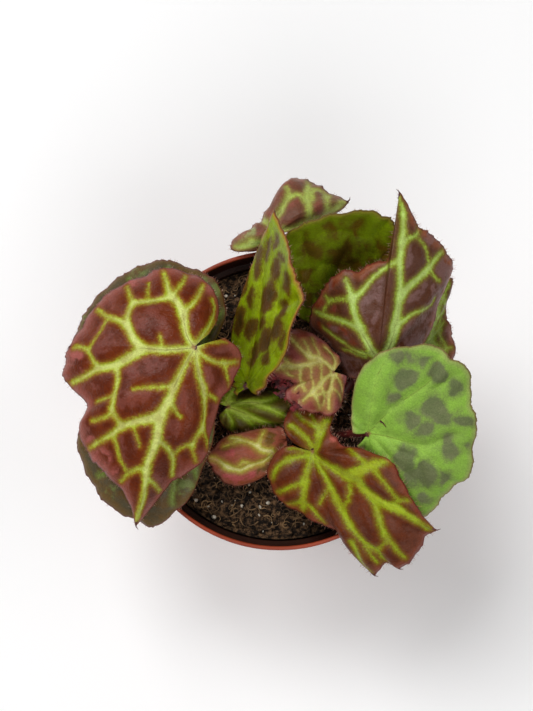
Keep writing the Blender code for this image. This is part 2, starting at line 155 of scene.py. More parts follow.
class Sketch:
    """A shader node tree that is being built, with a short method for each kind of node that it holds."""

    def __init__(self, tree: bpy.types.NodeTree) -> None:
        """Take the node tree to build in."""
        self.tree = tree

    def node(self, kind: str, inputs: dict | None = None, **settings: object) -> Node:
        """Add a node.

        Args:
            kind: The node's type, such as ShaderNodeMath.
            inputs: A value or a socket for each named or numbered input.
            settings: Properties to set on the node first.

        Returns:
            The new node.
        """
        made = self.tree.nodes.new(kind)
        for name, value in settings.items():
            setattr(made, name, value)
        for name, value in (inputs or {}).items():
            self.feed(made.inputs[name], value)
        return made

    def feed(self, socket: Socket, value: object) -> None:
        """Link a socket to an output, or set its value when it gets a number or a colour.

        Args:
            socket: The input to feed.
            value: An output, a number, or a colour from 0 to 255.
        """
        if isinstance(value, Socket):
            self.tree.links.new(value, socket)
        elif isinstance(value, tuple) and len(value) == 3 and socket.type == "RGBA":
            socket.default_value = (*linear(value), 1)
        else:
            socket.default_value = value

    def place(self) -> Socket:
        """Return the point's own place on the piece."""
        return self.node("ShaderNodeTexCoord").outputs["Object"]

    def grain(self, scale: object, detail: float = 2, rough: float = 0.5) -> Socket:
        """Return a cloud of values round 0.5, with a lump every 1/scale metres."""
        inputs = {"Vector": self.place(), "Scale": scale, "Detail": detail, "Roughness": rough}
        return self.node("ShaderNodeTexNoise", inputs).outputs[0]

    def cells(self, scale: object, feature: str = "F1", output: str = "Distance") -> Socket:
        """Return one output of a Voronoi pattern."""
        inputs = {"Vector": self.place(), "Scale": scale}
        return self.node("ShaderNodeTexVoronoi", inputs, feature=feature).outputs[output]

    def attribute(self, name: str) -> Socket:
        """Return a value that the mesh holds at each point."""
        made = self.node("ShaderNodeAttribute", attribute_type="GEOMETRY", attribute_name=name)
        return made.outputs["Fac"]

    def maths(self, operation: str, first: object, second: object = 0.0) -> Socket:
        """Return the outcome of one sum on two values."""
        return self.node("ShaderNodeMath", {0: first, 1: second}, operation=operation).outputs[0]

    def step(
        self, value: object, low: object, high: object, at_low: float = 0, at_high: float = 1
    ) -> Socket:
        """Return a value that turns smoothly from at_low to at_high as another runs from low to high."""
        inputs = {"Value": value, "From Min": low, "From Max": high, "To Min": at_low, "To Max": at_high}
        return self.node("ShaderNodeMapRange", inputs, interpolation_type="SMOOTHSTEP").outputs[0]

    def mix(self, share: object, first: object, second: object) -> Socket:
        """Return a mix of two colours, with this share of the second from 0 to 1."""
        inputs = {0: share, 6: first, 7: second}
        return self.node("ShaderNodeMix", inputs, data_type="RGBA").outputs[2]

    def effect(self, group: bpy.types.NodeTree, inputs: dict) -> Socket:
        """Return what a shared effect puts out when it gets its own values."""
        return self.node("ShaderNodeGroup", inputs, node_tree=group).outputs[0]


SOCKET_KINDS = {"colour": "NodeSocketColor", "value": "NodeSocketFloat"}


def shared_effect(
    name: str, inputs: dict[str, str], output: str, build: Callable[[Sketch, Node], object]
) -> bpy.types.NodeTree:
    """Make a node group once.

    Args:
        name: The group's name.
        inputs: The kind of each input by its name, colour or value.
        output: The kind of the one output, which takes the group's own name.
        build: Draws the group's nodes and returns the socket to put out.

    Returns:
        The group.
    """
    if name in bpy.data.node_groups:
        return bpy.data.node_groups[name]
    tree = bpy.data.node_groups.new(name, "ShaderNodeTree")
    for label, kind in inputs.items():
        tree.interface.new_socket(label, in_out="INPUT", socket_type=SOCKET_KINDS[kind])
    tree.interface.new_socket(name, in_out="OUTPUT", socket_type=SOCKET_KINDS[output])
    sketch = Sketch(tree)
    entry = tree.nodes.new("NodeGroupInput")
    leave = tree.nodes.new("NodeGroupOutput")
    sketch.feed(leave.inputs[0], build(sketch, entry))
    return tree


def ragged_edge() -> bpy.types.NodeTree:
    """Make the effect that turns a distance in millimetres into a mask with a soft, feathered edge.

    Returns:
        The effect, built once.
    """

    def build(sketch: Sketch, entry: Node) -> Socket:
        """Shake the distance with two sizes of grain, then blur it over the softness.

        Args:
            sketch: The group's nodes.
            entry: The group's inputs.

        Returns:
            The mask.
        """
        coarse = sketch.maths("SUBTRACT", sketch.grain(900, 2), 0.5)
        fine = sketch.maths("SUBTRACT", sketch.grain(3200, 1), 0.5)
        both = sketch.maths("ADD", coarse, fine)
        shift = sketch.maths("MULTIPLY", both, entry.outputs["Feather"])
        shaken = sketch.maths("ADD", entry.outputs["Distance"], shift)
        low = sketch.maths("MULTIPLY", entry.outputs["Softness"], -1.0)
        return sketch.step(shaken, low, entry.outputs["Softness"])

    inputs = {"Distance": "value", "Softness": "value", "Feather": "value"}
    return shared_effect("ragged edge", inputs, "value", build)


def mottle() -> bpy.types.NodeTree:
    """Make the effect that wanders between two colours in soft clouds.

    Returns:
        The effect, built once.
    """

    def build(sketch: Sketch, entry: Node) -> Socket:
        """Stretch a noise to the full range and mix by it."""
        clouds = sketch.step(sketch.grain(entry.outputs["Scale"], 3, 0.6), 0.36, 0.64)
        return sketch.mix(clouds, entry.outputs["First"], entry.outputs["Second"])

    return shared_effect("mottle", {"First": "colour", "Second": "colour", "Scale": "value"}, "colour", build)


def pebbled() -> bpy.types.NodeTree:
    """Make the effect that gives the height of a finely pebbled skin.

    Returns:
        The effect, built once.
    """

    def build(sketch: Sketch, entry: Node) -> Socket:
        """Add small round lumps to a fine grain."""
        fine = sketch.grain(sketch.maths("MULTIPLY", entry.outputs["Scale"], 2.2), 2)
        return sketch.maths("ADD", sketch.maths("MULTIPLY", sketch.cells(entry.outputs["Scale"]), -0.6), fine)

    return shared_effect("pebbled", {"Scale": "value"}, "value", build)


def new_material(name: str) -> tuple[Material, Sketch, Node]:
    """Make a material, ready to be dressed.

    Args:
        name: The material's name.

    Returns:
        The material, its nodes and its Principled shader.
    """
    made = bpy.data.materials.new(name)
    made.use_nodes = True
    return made, Sketch(made.node_tree), made.node_tree.nodes["Principled BSDF"]


def add_bump(sketch: Sketch, shader: Node, height: object, depth: float, strength: float) -> None:
    """Let a height in parts of a depth in metres shape the way that a surface takes the light."""
    inputs = {"Height": height, "Distance": depth, "Strength": strength}
    sketch.feed(shader.inputs["Normal"], sketch.node("ShaderNodeBump", inputs).outputs["Normal"])


# Finishes


class Marking(Enum):
    """How a leaf carries its pattern."""

    VEINED = "bright bands along the veins, with dark cells between them"
    BLOTCHED = "a plain ground with soft dark blotches"


@dataclass(frozen=True)
class LeafFinish:
    """The colours of one leaf's upper face.

    The cells are the dark fields between the veins, or the blotches on a blotched leaf. Away from them the
    skin turns from cell over brink to vein, and to core along the middle of a vein. A painted sheen, a paler
    colour that stands in for reflected light, lies on one side of each cell, and painted shade darkens the
    groove down the main veins.
    """

    cell: Colour
    cell_too: Colour
    brink: Colour
    vein: Colour
    core: Colour
    margin: Colour
    tint: Colour
    blush: Colour = (168, 84, 84)
    lip: Colour = (112, 44, 34)
    # Painted sheen: the colour of a highlight painted on one side of each cell, and how much of it shows.
    painted_sheen: Colour = (144, 86, 78)
    painted_sheen_share: float = 0.3
    margin_width: float = 4
    softness: float = 0.8
    feather: float = 1.3
    core_reach: float = 0.4
    tint_share: float = 0.55
    roughness: float = 0.3
    uneven: float = 0.14
    specular: float = 0.16
    net_scale: float = 520
    pebble_scale: float = 1300
    pebble_depth: float = 0.12 * MM
    # Painted shade: a dark colour laid down the groove of the main veins.
    groove_shade: Colour = (96, 84, 24)
    heart: Colour = (132, 76, 60)
    marking: Marking = Marking.VEINED

    def material(self, name: str) -> Material:
        """Make the skin of the leaf's upper face.

        Args:
            name: The material's name.

        Returns:
            The material. It reads the values that the blade's mesh holds at each point.
        """
        made, sketch, shader = new_material(name)
        skin = sketch.mix(self.cell_mask(sketch), self.band(sketch), self.field(sketch))
        skin = sketch.mix(sketch.step(sketch.attribute("rim"), 0.2, 0.7, 0.75, 0), skin, self.lip)
        # Painted shade down the groove of the main veins.
        skin = sketch.mix(sketch.attribute("groove"), skin, self.groove_shade)
        skin = sketch.mix(sketch.step(sketch.attribute("heart"), 0.3, 1.6, 0.75, 0), skin, self.heart)
        speckle = sketch.step(sketch.grain(1900, 3, 0.7), 0.3, 0.7, 0.84, 1.16)
        skin = sketch.node("ShaderNodeVectorMath", {0: skin, "Scale": speckle}, operation="SCALE").outputs[0]
        sketch.feed(shader.inputs["Base Color"], skin)
        rough = sketch.step(sketch.grain(500, 2), 0.3, 0.7, self.roughness, self.roughness + self.uneven)
        sketch.feed(shader.inputs["Roughness"], rough)
        shader.inputs["Specular IOR Level"].default_value = self.specular
        net = sketch.step(sketch.cells(self.net_scale, "DISTANCE_TO_EDGE"), 0.0, 0.2)
        height = sketch.effect(pebbled(), {"Scale": self.pebble_scale})
        height = sketch.maths("ADD", height, sketch.maths("MULTIPLY", net, 0.8))
        add_bump(sketch, shader, height, self.pebble_depth, 0.6)
        return made

    def cell_mask(self, sketch: Sketch) -> Socket:
        """Return 1 inside the cells and 0 on the bands, with a feathered edge."""
        inputs = {"Distance": sketch.attribute("edge"), "Softness": self.softness, "Feather": self.feather}
        return sketch.effect(ragged_edge(), inputs)

    def field(self, sketch: Sketch) -> Socket:
        """Mix the colour of the cells: two clouded browns, tinted in patches and towards the margin, with a
        painted sheen on one side of each cell.

        Args:
            sketch: The nodes to build in.

        Returns:
            The colour.
        """
        cell = sketch.effect(mottle(), {"First": self.cell, "Second": self.cell_too, "Scale": 130.0})
        wander = sketch.maths("MULTIPLY", sketch.grain(260, 3, 0.6), 3.0)
        inward = sketch.maths("ADD", sketch.attribute("rim"), wander)
        cell = sketch.mix(sketch.step(inward, 1.6, self.margin_width + 1.5, 0.8, 0), cell, self.margin)
        # Painted sheen: a paler colour on the side of each cell where the domed skin would catch the light.
        cell = sketch.mix(self.patchy(sketch, "painted_sheen", self.painted_sheen_share), cell, self.painted_sheen)
        cell = sketch.mix(self.patchy(sketch, "tint", self.tint_share), cell, self.tint)
        cell = sketch.mix(self.patchy(sketch, "blush", 0.75), cell, self.blush)
        shaken = sketch.maths("MULTIPLY", sketch.grain(900, 2), 0.8)
        deep = sketch.maths("ADD", sketch.attribute("edge"), shaken)
        return sketch.mix(sketch.step(deep, 0.5, 2.4), self.brink, cell)

    def patchy(self, sketch: Sketch, name: str, share: float) -> Socket:
        """Break the round patches of a tint up by clouds, and return how much the tint covers."""
        clouds = sketch.step(sketch.grain(190, 3, 0.6), 0.36, 0.64, 0.1, 1.2)
        return sketch.step(sketch.maths("MULTIPLY", sketch.attribute(name), clouds), 0.05, 0.95, 0, share)

    def band(self, sketch: Sketch) -> Socket:
        """Mix the colour of the veins: palest along their middle, and duller towards the margin.

        Args:
            sketch: The nodes to build in.

        Returns:
            The colour.
        """
        shaken = sketch.maths("MULTIPLY", sketch.grain(1500, 2), 0.8)
        inner = sketch.maths("ADD", sketch.attribute("ribs"), shaken)
        band = sketch.mix(sketch.step(inner, -1.0, self.core_reach), self.core, self.vein)
        clouds = sketch.step(sketch.grain(220, 3, 0.6), 0.35, 0.65, 0, 0.35)
        band = sketch.mix(clouds, band, self.brink)
        band = sketch.mix(self.patchy(sketch, "blush", 0.35), band, self.blush)
        return sketch.mix(sketch.step(sketch.attribute("rim"), 0.3, 2.6, 0.75, 0), band, self.margin)


@dataclass(frozen=True)
class UndersideFinish:
    """The pale, flushed underside of the leaves."""

    ground: Colour = (128, 78, 62)
    ground_too: Colour = (112, 92, 58)
    vein: Colour = (150, 120, 84)
    roughness: float = 0.62

    def material(self, name: str) -> Material:
        """Make the skin of the lower face, where the veins stand out.

        Args:
            name: The material's name.

        Returns:
            The material.
        """
        made, sketch, shader = new_material(name)
        ground = sketch.effect(mottle(), {"First": self.ground, "Second": self.ground_too, "Scale": 90.0})
        inputs = {"Distance": sketch.attribute("ribs"), "Softness": 0.5, "Feather": 0.8}
        mask = sketch.effect(ragged_edge(), inputs)
        sketch.feed(shader.inputs["Base Color"], sketch.mix(mask, self.vein, ground))
        shader.inputs["Roughness"].default_value = self.roughness
        add_bump(sketch, shader, sketch.effect(pebbled(), {"Scale": 1500.0}), 0.1 * MM, 0.5)
        return made


@dataclass(frozen=True)
class StemFinish:
    """The dull red, streaked skin of petioles and rhizome."""

    skin: Colour = (96, 22, 18)
    skin_too: Colour = (58, 16, 12)
    roughness: float = 0.5
    scale: float = 260
    depth: float = 0.15

    def material(self, name: str) -> Material:
        """Make the skin, with painted shade in its hollows.

        Args:
            name: The material's name.

        Returns:
            The material.
        """
        made, sketch, shader = new_material(name)
        skin = sketch.effect(mottle(), {"First": self.skin, "Second": self.skin_too, "Scale": self.scale})
        height = sketch.effect(pebbled(), {"Scale": self.scale * 3})
        # Painted shade: the darker colour laid in the hollows of the pebbled skin.
        skin = sketch.mix(sketch.step(height, 0.1, 0.5, 0.5, 0), skin, self.skin_too)
        sketch.feed(shader.inputs["Base Color"], skin)
        shader.inputs["Roughness"].default_value = self.roughness
        add_bump(sketch, shader, height, self.depth * MM, 0.8)
        return made


@dataclass(frozen=True)
class PeatFinish:
    """Dark, crumbly peat, with each crumb of its own brown."""

    dark: Colour = (24, 16, 10)
    light: Colour = (122, 92, 64)
    grain_scale: float = 420
    roughness: float = 0.92
    specular: float = 0.25

    def material(self, name: str) -> Material:
        """Make the peat's material.

        Args:
            name: The material's name.

        Returns:
            The material.
        """
        made, sketch, shader = new_material(name)
        crumb = sketch.step(sketch.grain(self.grain_scale, 4, 0.75), 0.43, 0.68)
        sketch.feed(shader.inputs["Base Color"], sketch.mix(crumb, self.dark, self.light))
        shader.inputs["Roughness"].default_value = self.roughness
        shader.inputs["Specular IOR Level"].default_value = self.specular
        add_bump(sketch, shader, sketch.grain(1600, 4, 0.7), 0.5 * MM, 0.9)
        return made


@dataclass(frozen=True)
class PlasticFinish:
    """The pot's terracotta-coloured plastic, with soil dust where it is dirty."""

    plastic: Colour = (150, 60, 32)
    plastic_too: Colour = (136, 52, 26)
    dirt: Colour = (52, 30, 20)
    dirt_from: float = 90
    dirt_to: float = 98
    dirty: float = 0.0
    specular: float = 0.3

    def material(self, name: str) -> Material:
        """Make the plastic.

        Args:
            name: The material's name.

        Returns:
            The material. Its dirt lies thickest below the height dirt_from, and ends at dirt_to.
        """
        made, sketch, shader = new_material(name)
        colour = sketch.effect(mottle(), {"First": self.plastic, "Second": self.plastic_too, "Scale": 60.0})
        height = sketch.node("ShaderNodeSeparateXYZ", {0: sketch.place()}).outputs["Z"]
        wander = sketch.maths("MULTIPLY", sketch.grain(500, 4, 0.7), 9 * MM)
        height = sketch.maths("ADD", height, wander)
        low = sketch.step(height, self.dirt_from * MM, self.dirt_to * MM, self.dirty, 0)
        colour = sketch.mix(low, colour, self.dirt)
        specks = sketch.step(sketch.cells(300), 0.1, 0.16, 0.5 * self.dirty, 0)
        sketch.feed(shader.inputs["Base Color"], sketch.mix(specks, colour, self.dirt))
        sketch.feed(shader.inputs["Roughness"], sketch.step(sketch.grain(40, 3), 0.3, 0.7, 0.38, 0.5))
        shader.inputs["Specular IOR Level"].default_value = self.specular
        add_bump(sketch, shader, sketch.grain(1800, 2), 0.05 * MM, 0.5)
        return made


@dataclass(frozen=True)
class SpeckFinish:
    """A finish that wanders between two colours, for hairs, perlite, fibres and dried bits."""

    first: Colour
    second: Colour
    scale: float = 250
    roughness: float = 0.85
    bumpy: bool = True

    def material(self, name: str) -> Material:
        """Make the material of small bits.

        Args:
            name: The material's name.

        Returns:
            The material.
        """
        made, sketch, shader = new_material(name)
        colour = sketch.effect(mottle(), {"First": self.first, "Second": self.second, "Scale": self.scale})
        sketch.feed(shader.inputs["Base Color"], colour)
        shader.inputs["Roughness"].default_value = self.roughness
        if self.bumpy:
            add_bump(sketch, shader, sketch.grain(2500, 3, 0.7), 0.15 * MM, 0.7)
        return made


# Shapes and pieces


def pixel_tree(pixels: Rows) -> kdtree.KDTree:
    """Sort points by their place in the photograph.

    Args:
        pixels: Their pixels, one a row.

    Returns:
        A tree that finds the points nearest to a pixel.
    """
    tree = kdtree.KDTree(len(pixels))
    for i, (x, y) in enumerate(pixels):
        tree.insert((x, y, 0), i)
    tree.balance()
    return tree


def hermite(start: Rows, leaving: Rows, end: Rows, arriving: Rows, t: float) -> Rows:
    """Find a point on the cubic between two points with given tangents, at t from 0 to 1."""
    s, first, last = 1 - t, start * (1 + 2 * t), end * (t * t * (3 - 2 * t))
    return first * (1 - t) * s + leaving * (t * s * s) + last - arriving * (t * t * s)


def smooth_line(points: Rows, corners: Sequence[int], steps: int) -> Rows:
    """Lay a smooth line through points.

    Args:
        points: The points, one a row.
        corners: The places among them where the line keeps a corner.
        steps: How many steps it takes from one point to the next.

    Returns:
        The line's points, one a row.
    """
    last = len(points) - 1
    line = []
    for i in range(last):
        here, there = points[i], points[i + 1]
        leaving = there - here if i == 0 or i in corners else (there - points[i - 1]) / 2
        arriving = there - here if i + 1 == last or i + 1 in corners else (points[i + 2] - here) / 2
        line += [hermite(here, leaving, there, arriving, step / steps) for step in range(steps)]
    return np.array(line + [points[last]])


def finish_mesh(name: str, bm: bmesh.types.BMesh, sharp: float = 180) -> bpy.types.Mesh:
    """Turn a bmesh into a smooth mesh, and free it.

    Args:
        name: The mesh's name.
        bm: The bmesh.
        sharp: The angle in degrees past which an edge is sharp.

    Returns:
        The mesh.
    """
    mesh = bpy.data.meshes.new(name)
    bm.to_mesh(mesh)
    bm.free()
    mesh.shade_smooth()
    if sharp < 180:
        mesh.set_sharp_from_angle(angle=math.radians(sharp))
    return mesh


def add_piece(
    name: str,
    mesh: bpy.types.Mesh,
    materials: Sequence[Material],
    replaces: Sequence[str] = (),
) -> bpy.types.Object:
    """Add a finished mesh to the scene as a piece of the plant.

    Args:
        name: The piece's name.
        mesh: Its mesh, already in place.
        materials: Its materials, by slot.
        replaces: The CAD nodes that it stands for.

    Returns:
        The new object.
    """
    for item in materials:
        mesh.materials.append(item)
    piece = bpy.data.objects.new(name, mesh)
    show(piece)
    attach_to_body(piece, "root")
    if replaces:
        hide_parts(*replaces)
    LOG.info("%s: %d faces", name, len(mesh.polygons))
    return piece


@dataclass
class Strand:
    """A thin round strand through some points, which tapers from a radius to a share of it."""

    points: Sequence[Vector]
    radius: float
    taper: float = 0.8


def strands_mesh(name: str, strands: Sequence[Strand], sides: int = 0) -> bpy.types.Mesh:
    """Make the mesh of many strands by bevelling one curve.

    Args:
        name: The mesh's name.
        strands: The strands.
        sides: The bevel's resolution: 0 gives four sides.

    Returns:
        One mesh with every strand in it.
    """
    curve = bpy.data.curves.new(name, "CURVE")
    curve.dimensions = "3D"
    curve.bevel_depth = 1
    curve.bevel_resolution = sides
    curve.use_fill_caps = True
    for strand in strands:
        spline = curve.splines.new("POLY")
        spline.points.add(len(strand.points) - 1)
        last = len(strand.points) - 1
        for i, (place, point) in enumerate(zip(spline.points, strand.points)):
            place.co = (*point, 1)
            place.radius = strand.radius * (1 - strand.taper * i / last)
    guide = bpy.data.objects.new(name, curve)
    show(guide)
    bpy.context.view_layer.update()
    mesh = bpy.data.meshes.new_from_object(guide.evaluated_get(bpy.context.evaluated_depsgraph_get()))
    bpy.data.objects.remove(guide)
    mesh.materials.clear()
    bm = bmesh.new()
    bm.from_mesh(mesh)
    bpy.data.meshes.remove(mesh)
    bmesh.ops.remove_doubles(bm, verts=bm.verts, dist=MERGE / 10)
    bmesh.ops.recalc_face_normals(bm, faces=bm.faces)
    return finish_mesh(name, bm, sharp=70)


@dataclass
class Lump:
    """A small stone-like lump: where it lies, its radius and how it is turned and squashed."""

    place: Vector
    radius: float
    turn: Matrix
    squash: Place


def lumps_mesh(name: str, lumps: Sequence[Lump], detail: int, batch: int = 150) -> bpy.types.Mesh:
    """Make the mesh of many lumps, a batch at a time.

    Args:
        name: The mesh's name.
        lumps: The lumps.
        detail: The icosphere's subdivisions: 1 gives 20 faces.
        batch: How many lumps are built before they are put with the rest.

    Returns:
        One mesh with every lump in it.
    """
    whole = bmesh.new()
    for start in range(0, len(lumps), batch):
        bm = bmesh.new()
        for lump in lumps[start : start + batch]:
            matrix = Matrix.Translation(lump.place) @ lump.turn @ Matrix.Diagonal((*lump.squash, 1))
            bmesh.ops.create_icosphere(bm, subdivisions=detail, radius=lump.radius, matrix=matrix)
        part = finish_mesh("batch", bm)
        whole.from_mesh(part)
        bpy.data.meshes.remove(part)
    for vert in whole.verts:
        vert.co += noise.noise_vector(vert.co * 700) * 0.12 * MM
    return finish_mesh(name, whole, sharp=30)


def random_turn(dice: random.Random) -> Matrix:
    """Return a turn to any side."""
    axis = Vector((dice.gauss(0, 1), dice.gauss(0, 1), dice.gauss(0, 1))).normalized()
    return Matrix.Rotation(dice.uniform(0, math.tau), 4, axis)


# Pot, soil and rhizome


@dataclass
class Pot:
    """The nursery pot: one moulding with a stepped collar, a rounded rim and drain holes in a flat floor."""

    height: float = 100 * MM
    rim_radius: float = 60 * MM
    base_radius: float = 43 * MM
    collar_height: float = 11 * MM
    collar_step: float = 2.2 * MM
    wall: float = 1.6 * MM
    floor: float = 2.4 * MM
    sides: int = 112
    drain_holes: int = 6
    drain_radius: float = 4 * MM
    drain_circle: float = 27 * MM

    def wall_radius(self, height: float) -> float:
        """Return the outer radius below the collar at a height."""
        spread = self.rim_radius - self.collar_step - self.base_radius
        return self.base_radius + spread * height / (self.height - self.collar_height)

    def arc(self, middle: Spot, radius: float, start: float, end: float, steps: int) -> list[Spot]:
        """Return points of a round corner, with its angles in degrees."""
        turns = [math.radians(start + (end - start) * i / steps) for i in range(steps + 1)]
        return [(middle[0] + radius * math.cos(a), middle[1] + radius * math.sin(a)) for a in turns]

    def profile(self) -> list[Spot]:
        """Draw the pot's section.

        Returns:
            Points as (radius, height), from the middle of the floor over the rim to the middle of the base.
        """
        step = self.height - self.collar_height
        lip = self.wall / 2
        inner_floor = self.wall_radius(self.floor) - self.wall
        points = [(0, self.floor)]
        points += self.arc((inner_floor - 2 * lip, self.floor + 2 * lip), 2 * lip, -90, 0, 4)
        points += [(self.wall_radius(step) - self.wall, step - lip)]
        points += [(self.rim_radius - self.wall - lip / 2, step + lip)]
        points += self.arc((self.rim_radius - lip, self.height - lip), lip, 180, 0, 8)
        points += self.arc((self.rim_radius - lip, step + lip / 2), lip / 2, 0, -90, 3)
        points += [(self.wall_radius(step), step - lip / 4)]
        points += self.arc((self.wall_radius(0) - lip, lip), lip, 0, -90, 4)
        return points + [(0, 0)]

    def build(self, outside: PlasticFinish, inside: PlasticFinish) -> None:
        """Turn the pot and bore its drain holes.

        Args:
            outside: The finish of the outer faces.
            inside: The finish of the inner faces, a darker copy of the plastic that paints their shade.
        """
        bm = bmesh.new()
        chain = [bm.verts.new((radius, 0, height)) for radius, height in self.profile()]
        edges = [bm.edges.new(pair) for pair in zip(chain, chain[1:])]
        bmesh.ops.spin(
            bm, geom=chain + edges, axis=(0, 0, 1), cent=(0, 0, 0), angle=math.tau, steps=self.sides,
            use_merge=True,
        )
        bmesh.ops.remove_doubles(bm, verts=bm.verts, dist=MERGE)
        bmesh.ops.recalc_face_normals(bm, faces=bm.faces)
        blank = bpy.data.objects.new("pot_blank", finish_mesh("pot_blank", bm))
        show(blank)
        cutters = [self.drill(blank, i) for i in range(self.drain_holes)]
        bpy.context.view_layer.update()
        graph = bpy.context.evaluated_depsgraph_get()
        mesh = bpy.data.meshes.new_from_object(blank.evaluated_get(graph))
        mesh.shade_smooth()
        mesh.set_sharp_from_angle(angle=math.radians(34))
        for helper in [blank, *cutters]:
            bpy.data.objects.remove(helper)
        finishes = [outside.material("pot_outside"), inside.material("pot_inside_shaded")]
        add_piece("nursery_pot", mesh, finishes, replaces=["pot"])
        for face in mesh.polygons:
            radial = Vector((face.center.x, face.center.y, 0))
            inner = face.normal.dot(radial) < 0 or (face.center.z > MM and face.normal.z > 0.9)
            face.material_index = int(inner and face.center.z < self.height - self.wall)

    def drill(self, blank: bpy.types.Object, index: int) -> bpy.types.Object:
        """Bore one drain hole with a cutter.

        Args:
            blank: The pot before it is bored.
            index: The hole's number.

        Returns:
            The cutter.
        """
        bm = bmesh.new()
        bmesh.ops.create_cone(
            bm, cap_ends=True, segments=24, radius1=self.drain_radius, radius2=self.drain_radius,
            depth=4 * self.floor,
        )
        angle = math.tau * index / self.drain_holes
        place = (self.drain_circle * math.cos(angle), self.drain_circle * math.sin(angle), self.floor)
        bmesh.ops.translate(bm, verts=bm.verts, vec=place)
        cutter = bpy.data.objects.new("drill", finish_mesh("drill", bm))
        show(cutter)
        boolean = blank.modifiers.new("drill", "BOOLEAN")
        boolean.operation = "DIFFERENCE"
        boolean.object = cutter
        return cutter


@dataclass
class Soil:
    """The peat that fills the pot: a rough top, loose crumbs, root fibres and grains of perlite."""

    pot: Pot
    view: PhotoView
    top: float = 87.5 * MM
    crown: float = 1.2 * MM
    lump: float = 1.1 * MM
    lump_size: float = 9 * MM
    gap: float = 0.6 * MM
    rings: int = 90
    sides: int = 280
    crumbs: int = 3600
    fibres: int = 1200
    perlite: int = 46
    perlite_spots: tuple[Spot, ...] = (
        (222, 320), (216, 332), (226, 296), (214, 432), (208, 506), (214, 517), (260, 507), (268, 503),
        (242, 506), (259, 515), (304, 524), (250, 492), (196, 500), (345, 402), (349, 415), (352, 408),
    )
    dice: random.Random = field(default_factory=lambda: random.Random(4))

    def edge_radius(self) -> float:
        """Return the radius of the soil's top."""
        return self.pot.wall_radius(self.top) - self.pot.wall - self.gap

    def height(self, x: float, y: float) -> float:
        """Find the height of the rough top.

        Args:
            x: Across, in metres.
            y: Back, in metres.

        Returns:
            The height in metres.
        """
        spread = min(1.0, math.hypot(x, y) / self.edge_radius())
        smooth = self.top + self.crown * (1 - spread * spread)
        smooth += self.lump * noise.noise(Vector((x, y, 0)) / self.lump_size) * (1 - spread**4)
        rough = noise.fractal(Vector((x, y, 0.3)) * 260, 0.8, 2.2, 4)
        return smooth + 0.75 * MM * rough

    def build(self, peat: PeatFinish) -> None:
        """Build the bed, then strew crumbs, fibres and perlite on it.

        Args:
            peat: The finish of bed and crumbs.
        """
        self.build_bed(peat)
        crumbs = [self.crumb(0.55, 1.5) for _ in range(self.crumbs)]
        mesh = lumps_mesh("soil_crumbs", crumbs, 1)
        add_piece("soil_crumbs", mesh, [peat.material("peat_crumbs")])
        pale = SpeckFinish((156, 122, 82), (70, 50, 33), scale=90)
        fibres = strands_mesh("soil_fibres", [self.fibre() for _ in range(self.fibres)])
        add_piece("soil_fibres", fibres, [pale.material("root_fibre")])
        self.build_perlite()

    def build_bed(self, peat: PeatFinish) -> None:
        """Build the body of soil, whose top is a fine disc of rings.

        Args:
            peat: Its finish.
        """
        bm = bmesh.new()
        bmesh.ops.create_grid(bm, x_segments=self.sides, y_segments=self.rings, size=0.5)
        for vert in bm.verts:
            angle, spread = math.tau * (vert.co.x + 0.5), (vert.co.y + 0.5) ** 0.6
            x, y = (self.edge_radius() * spread * f(angle) for f in (math.cos, math.sin))
            vert.co = (x, y, self.height(x, y))
        bmesh.ops.remove_doubles(bm, verts=bm.verts, dist=MERGE)
        floor = self.pot.floor + self.gap
        low = self.pot.wall_radius(floor) - 2 * self.pot.wall - self.gap
        edge = [e for e in bm.edges if e.is_boundary]
        side = bmesh.ops.extrude_edge_only(bm, edges=edge)["geom"]
        for vert in (item for item in side if isinstance(item, bmesh.types.BMVert)):
            vert.co = Vector((vert.co.x, vert.co.y, 0)).normalized() * low + Vector((0, 0, floor))
        bmesh.ops.contextual_create(bm, geom=[e for e in bm.edges if e.is_boundary])
        bmesh.ops.recalc_face_normals(bm, faces=bm.faces)
        mesh = finish_mesh("soil_bed", bm, sharp=60)
        add_piece("soil_bed", mesh, [peat.material("peat")], replaces=["soil"])

    def anywhere(self) -> Spot:
        """Pick a random place on the soil's top."""
        spread, angle = math.sqrt(self.dice.random()), self.dice.uniform(0, math.tau)
        return tuple((self.edge_radius() - 1.2 * MM) * spread * f(angle) for f in (math.cos, math.sin))

    def lump_at(self, x: float, y: float, radius: float, rise: float) -> Lump:
        """Lay a turned, squashed lump on the soil, with its middle this far above it in metres."""
        squash = (1, self.dice.uniform(0.6, 1), self.dice.uniform(0.5, 0.9))
        return Lump(Vector((x, y, self.height(x, y) + rise)), radius, random_turn(self.dice), squash)

    def crumb(self, smallest: float, largest: float) -> Lump:
        """Lay one crumb of peat anywhere, between two radii in millimetres."""
        size = smallest + (largest - smallest) * self.dice.random() ** 2.5
        return self.lump_at(*self.anywhere(), size * MM, self.dice.uniform(-0.3, 0.9) * MM)

    def fibre(self) -> Strand:
        """Lay one curly bit of root or peat fibre on the crumbs.

        Returns:
            The fibre.
        """
        x, y = self.anywhere()
        heading, bend = self.dice.uniform(0, math.tau), self.dice.gauss(0, 0.55)
        step = self.dice.uniform(0.5, 1.5) * MM
        rise = self.dice.uniform(0.2, 1.2)
        points = []
        for i in range(7):
            lift = (rise + 0.7 * math.sin(i / 6 * math.pi)) * MM
            points.append(Vector((x, y, self.height(x, y) + lift)))
            heading += bend + self.dice.gauss(0, 0.35)
            x, y = x + step * math.cos(heading), y + step * math.sin(heading)
            if math.hypot(x, y) > self.edge_radius() - MM:
                break
        if len(points) < 3:
            return self.fibre()
        return Strand(points, self.dice.uniform(0.12, 0.32) * MM, taper=0.6)

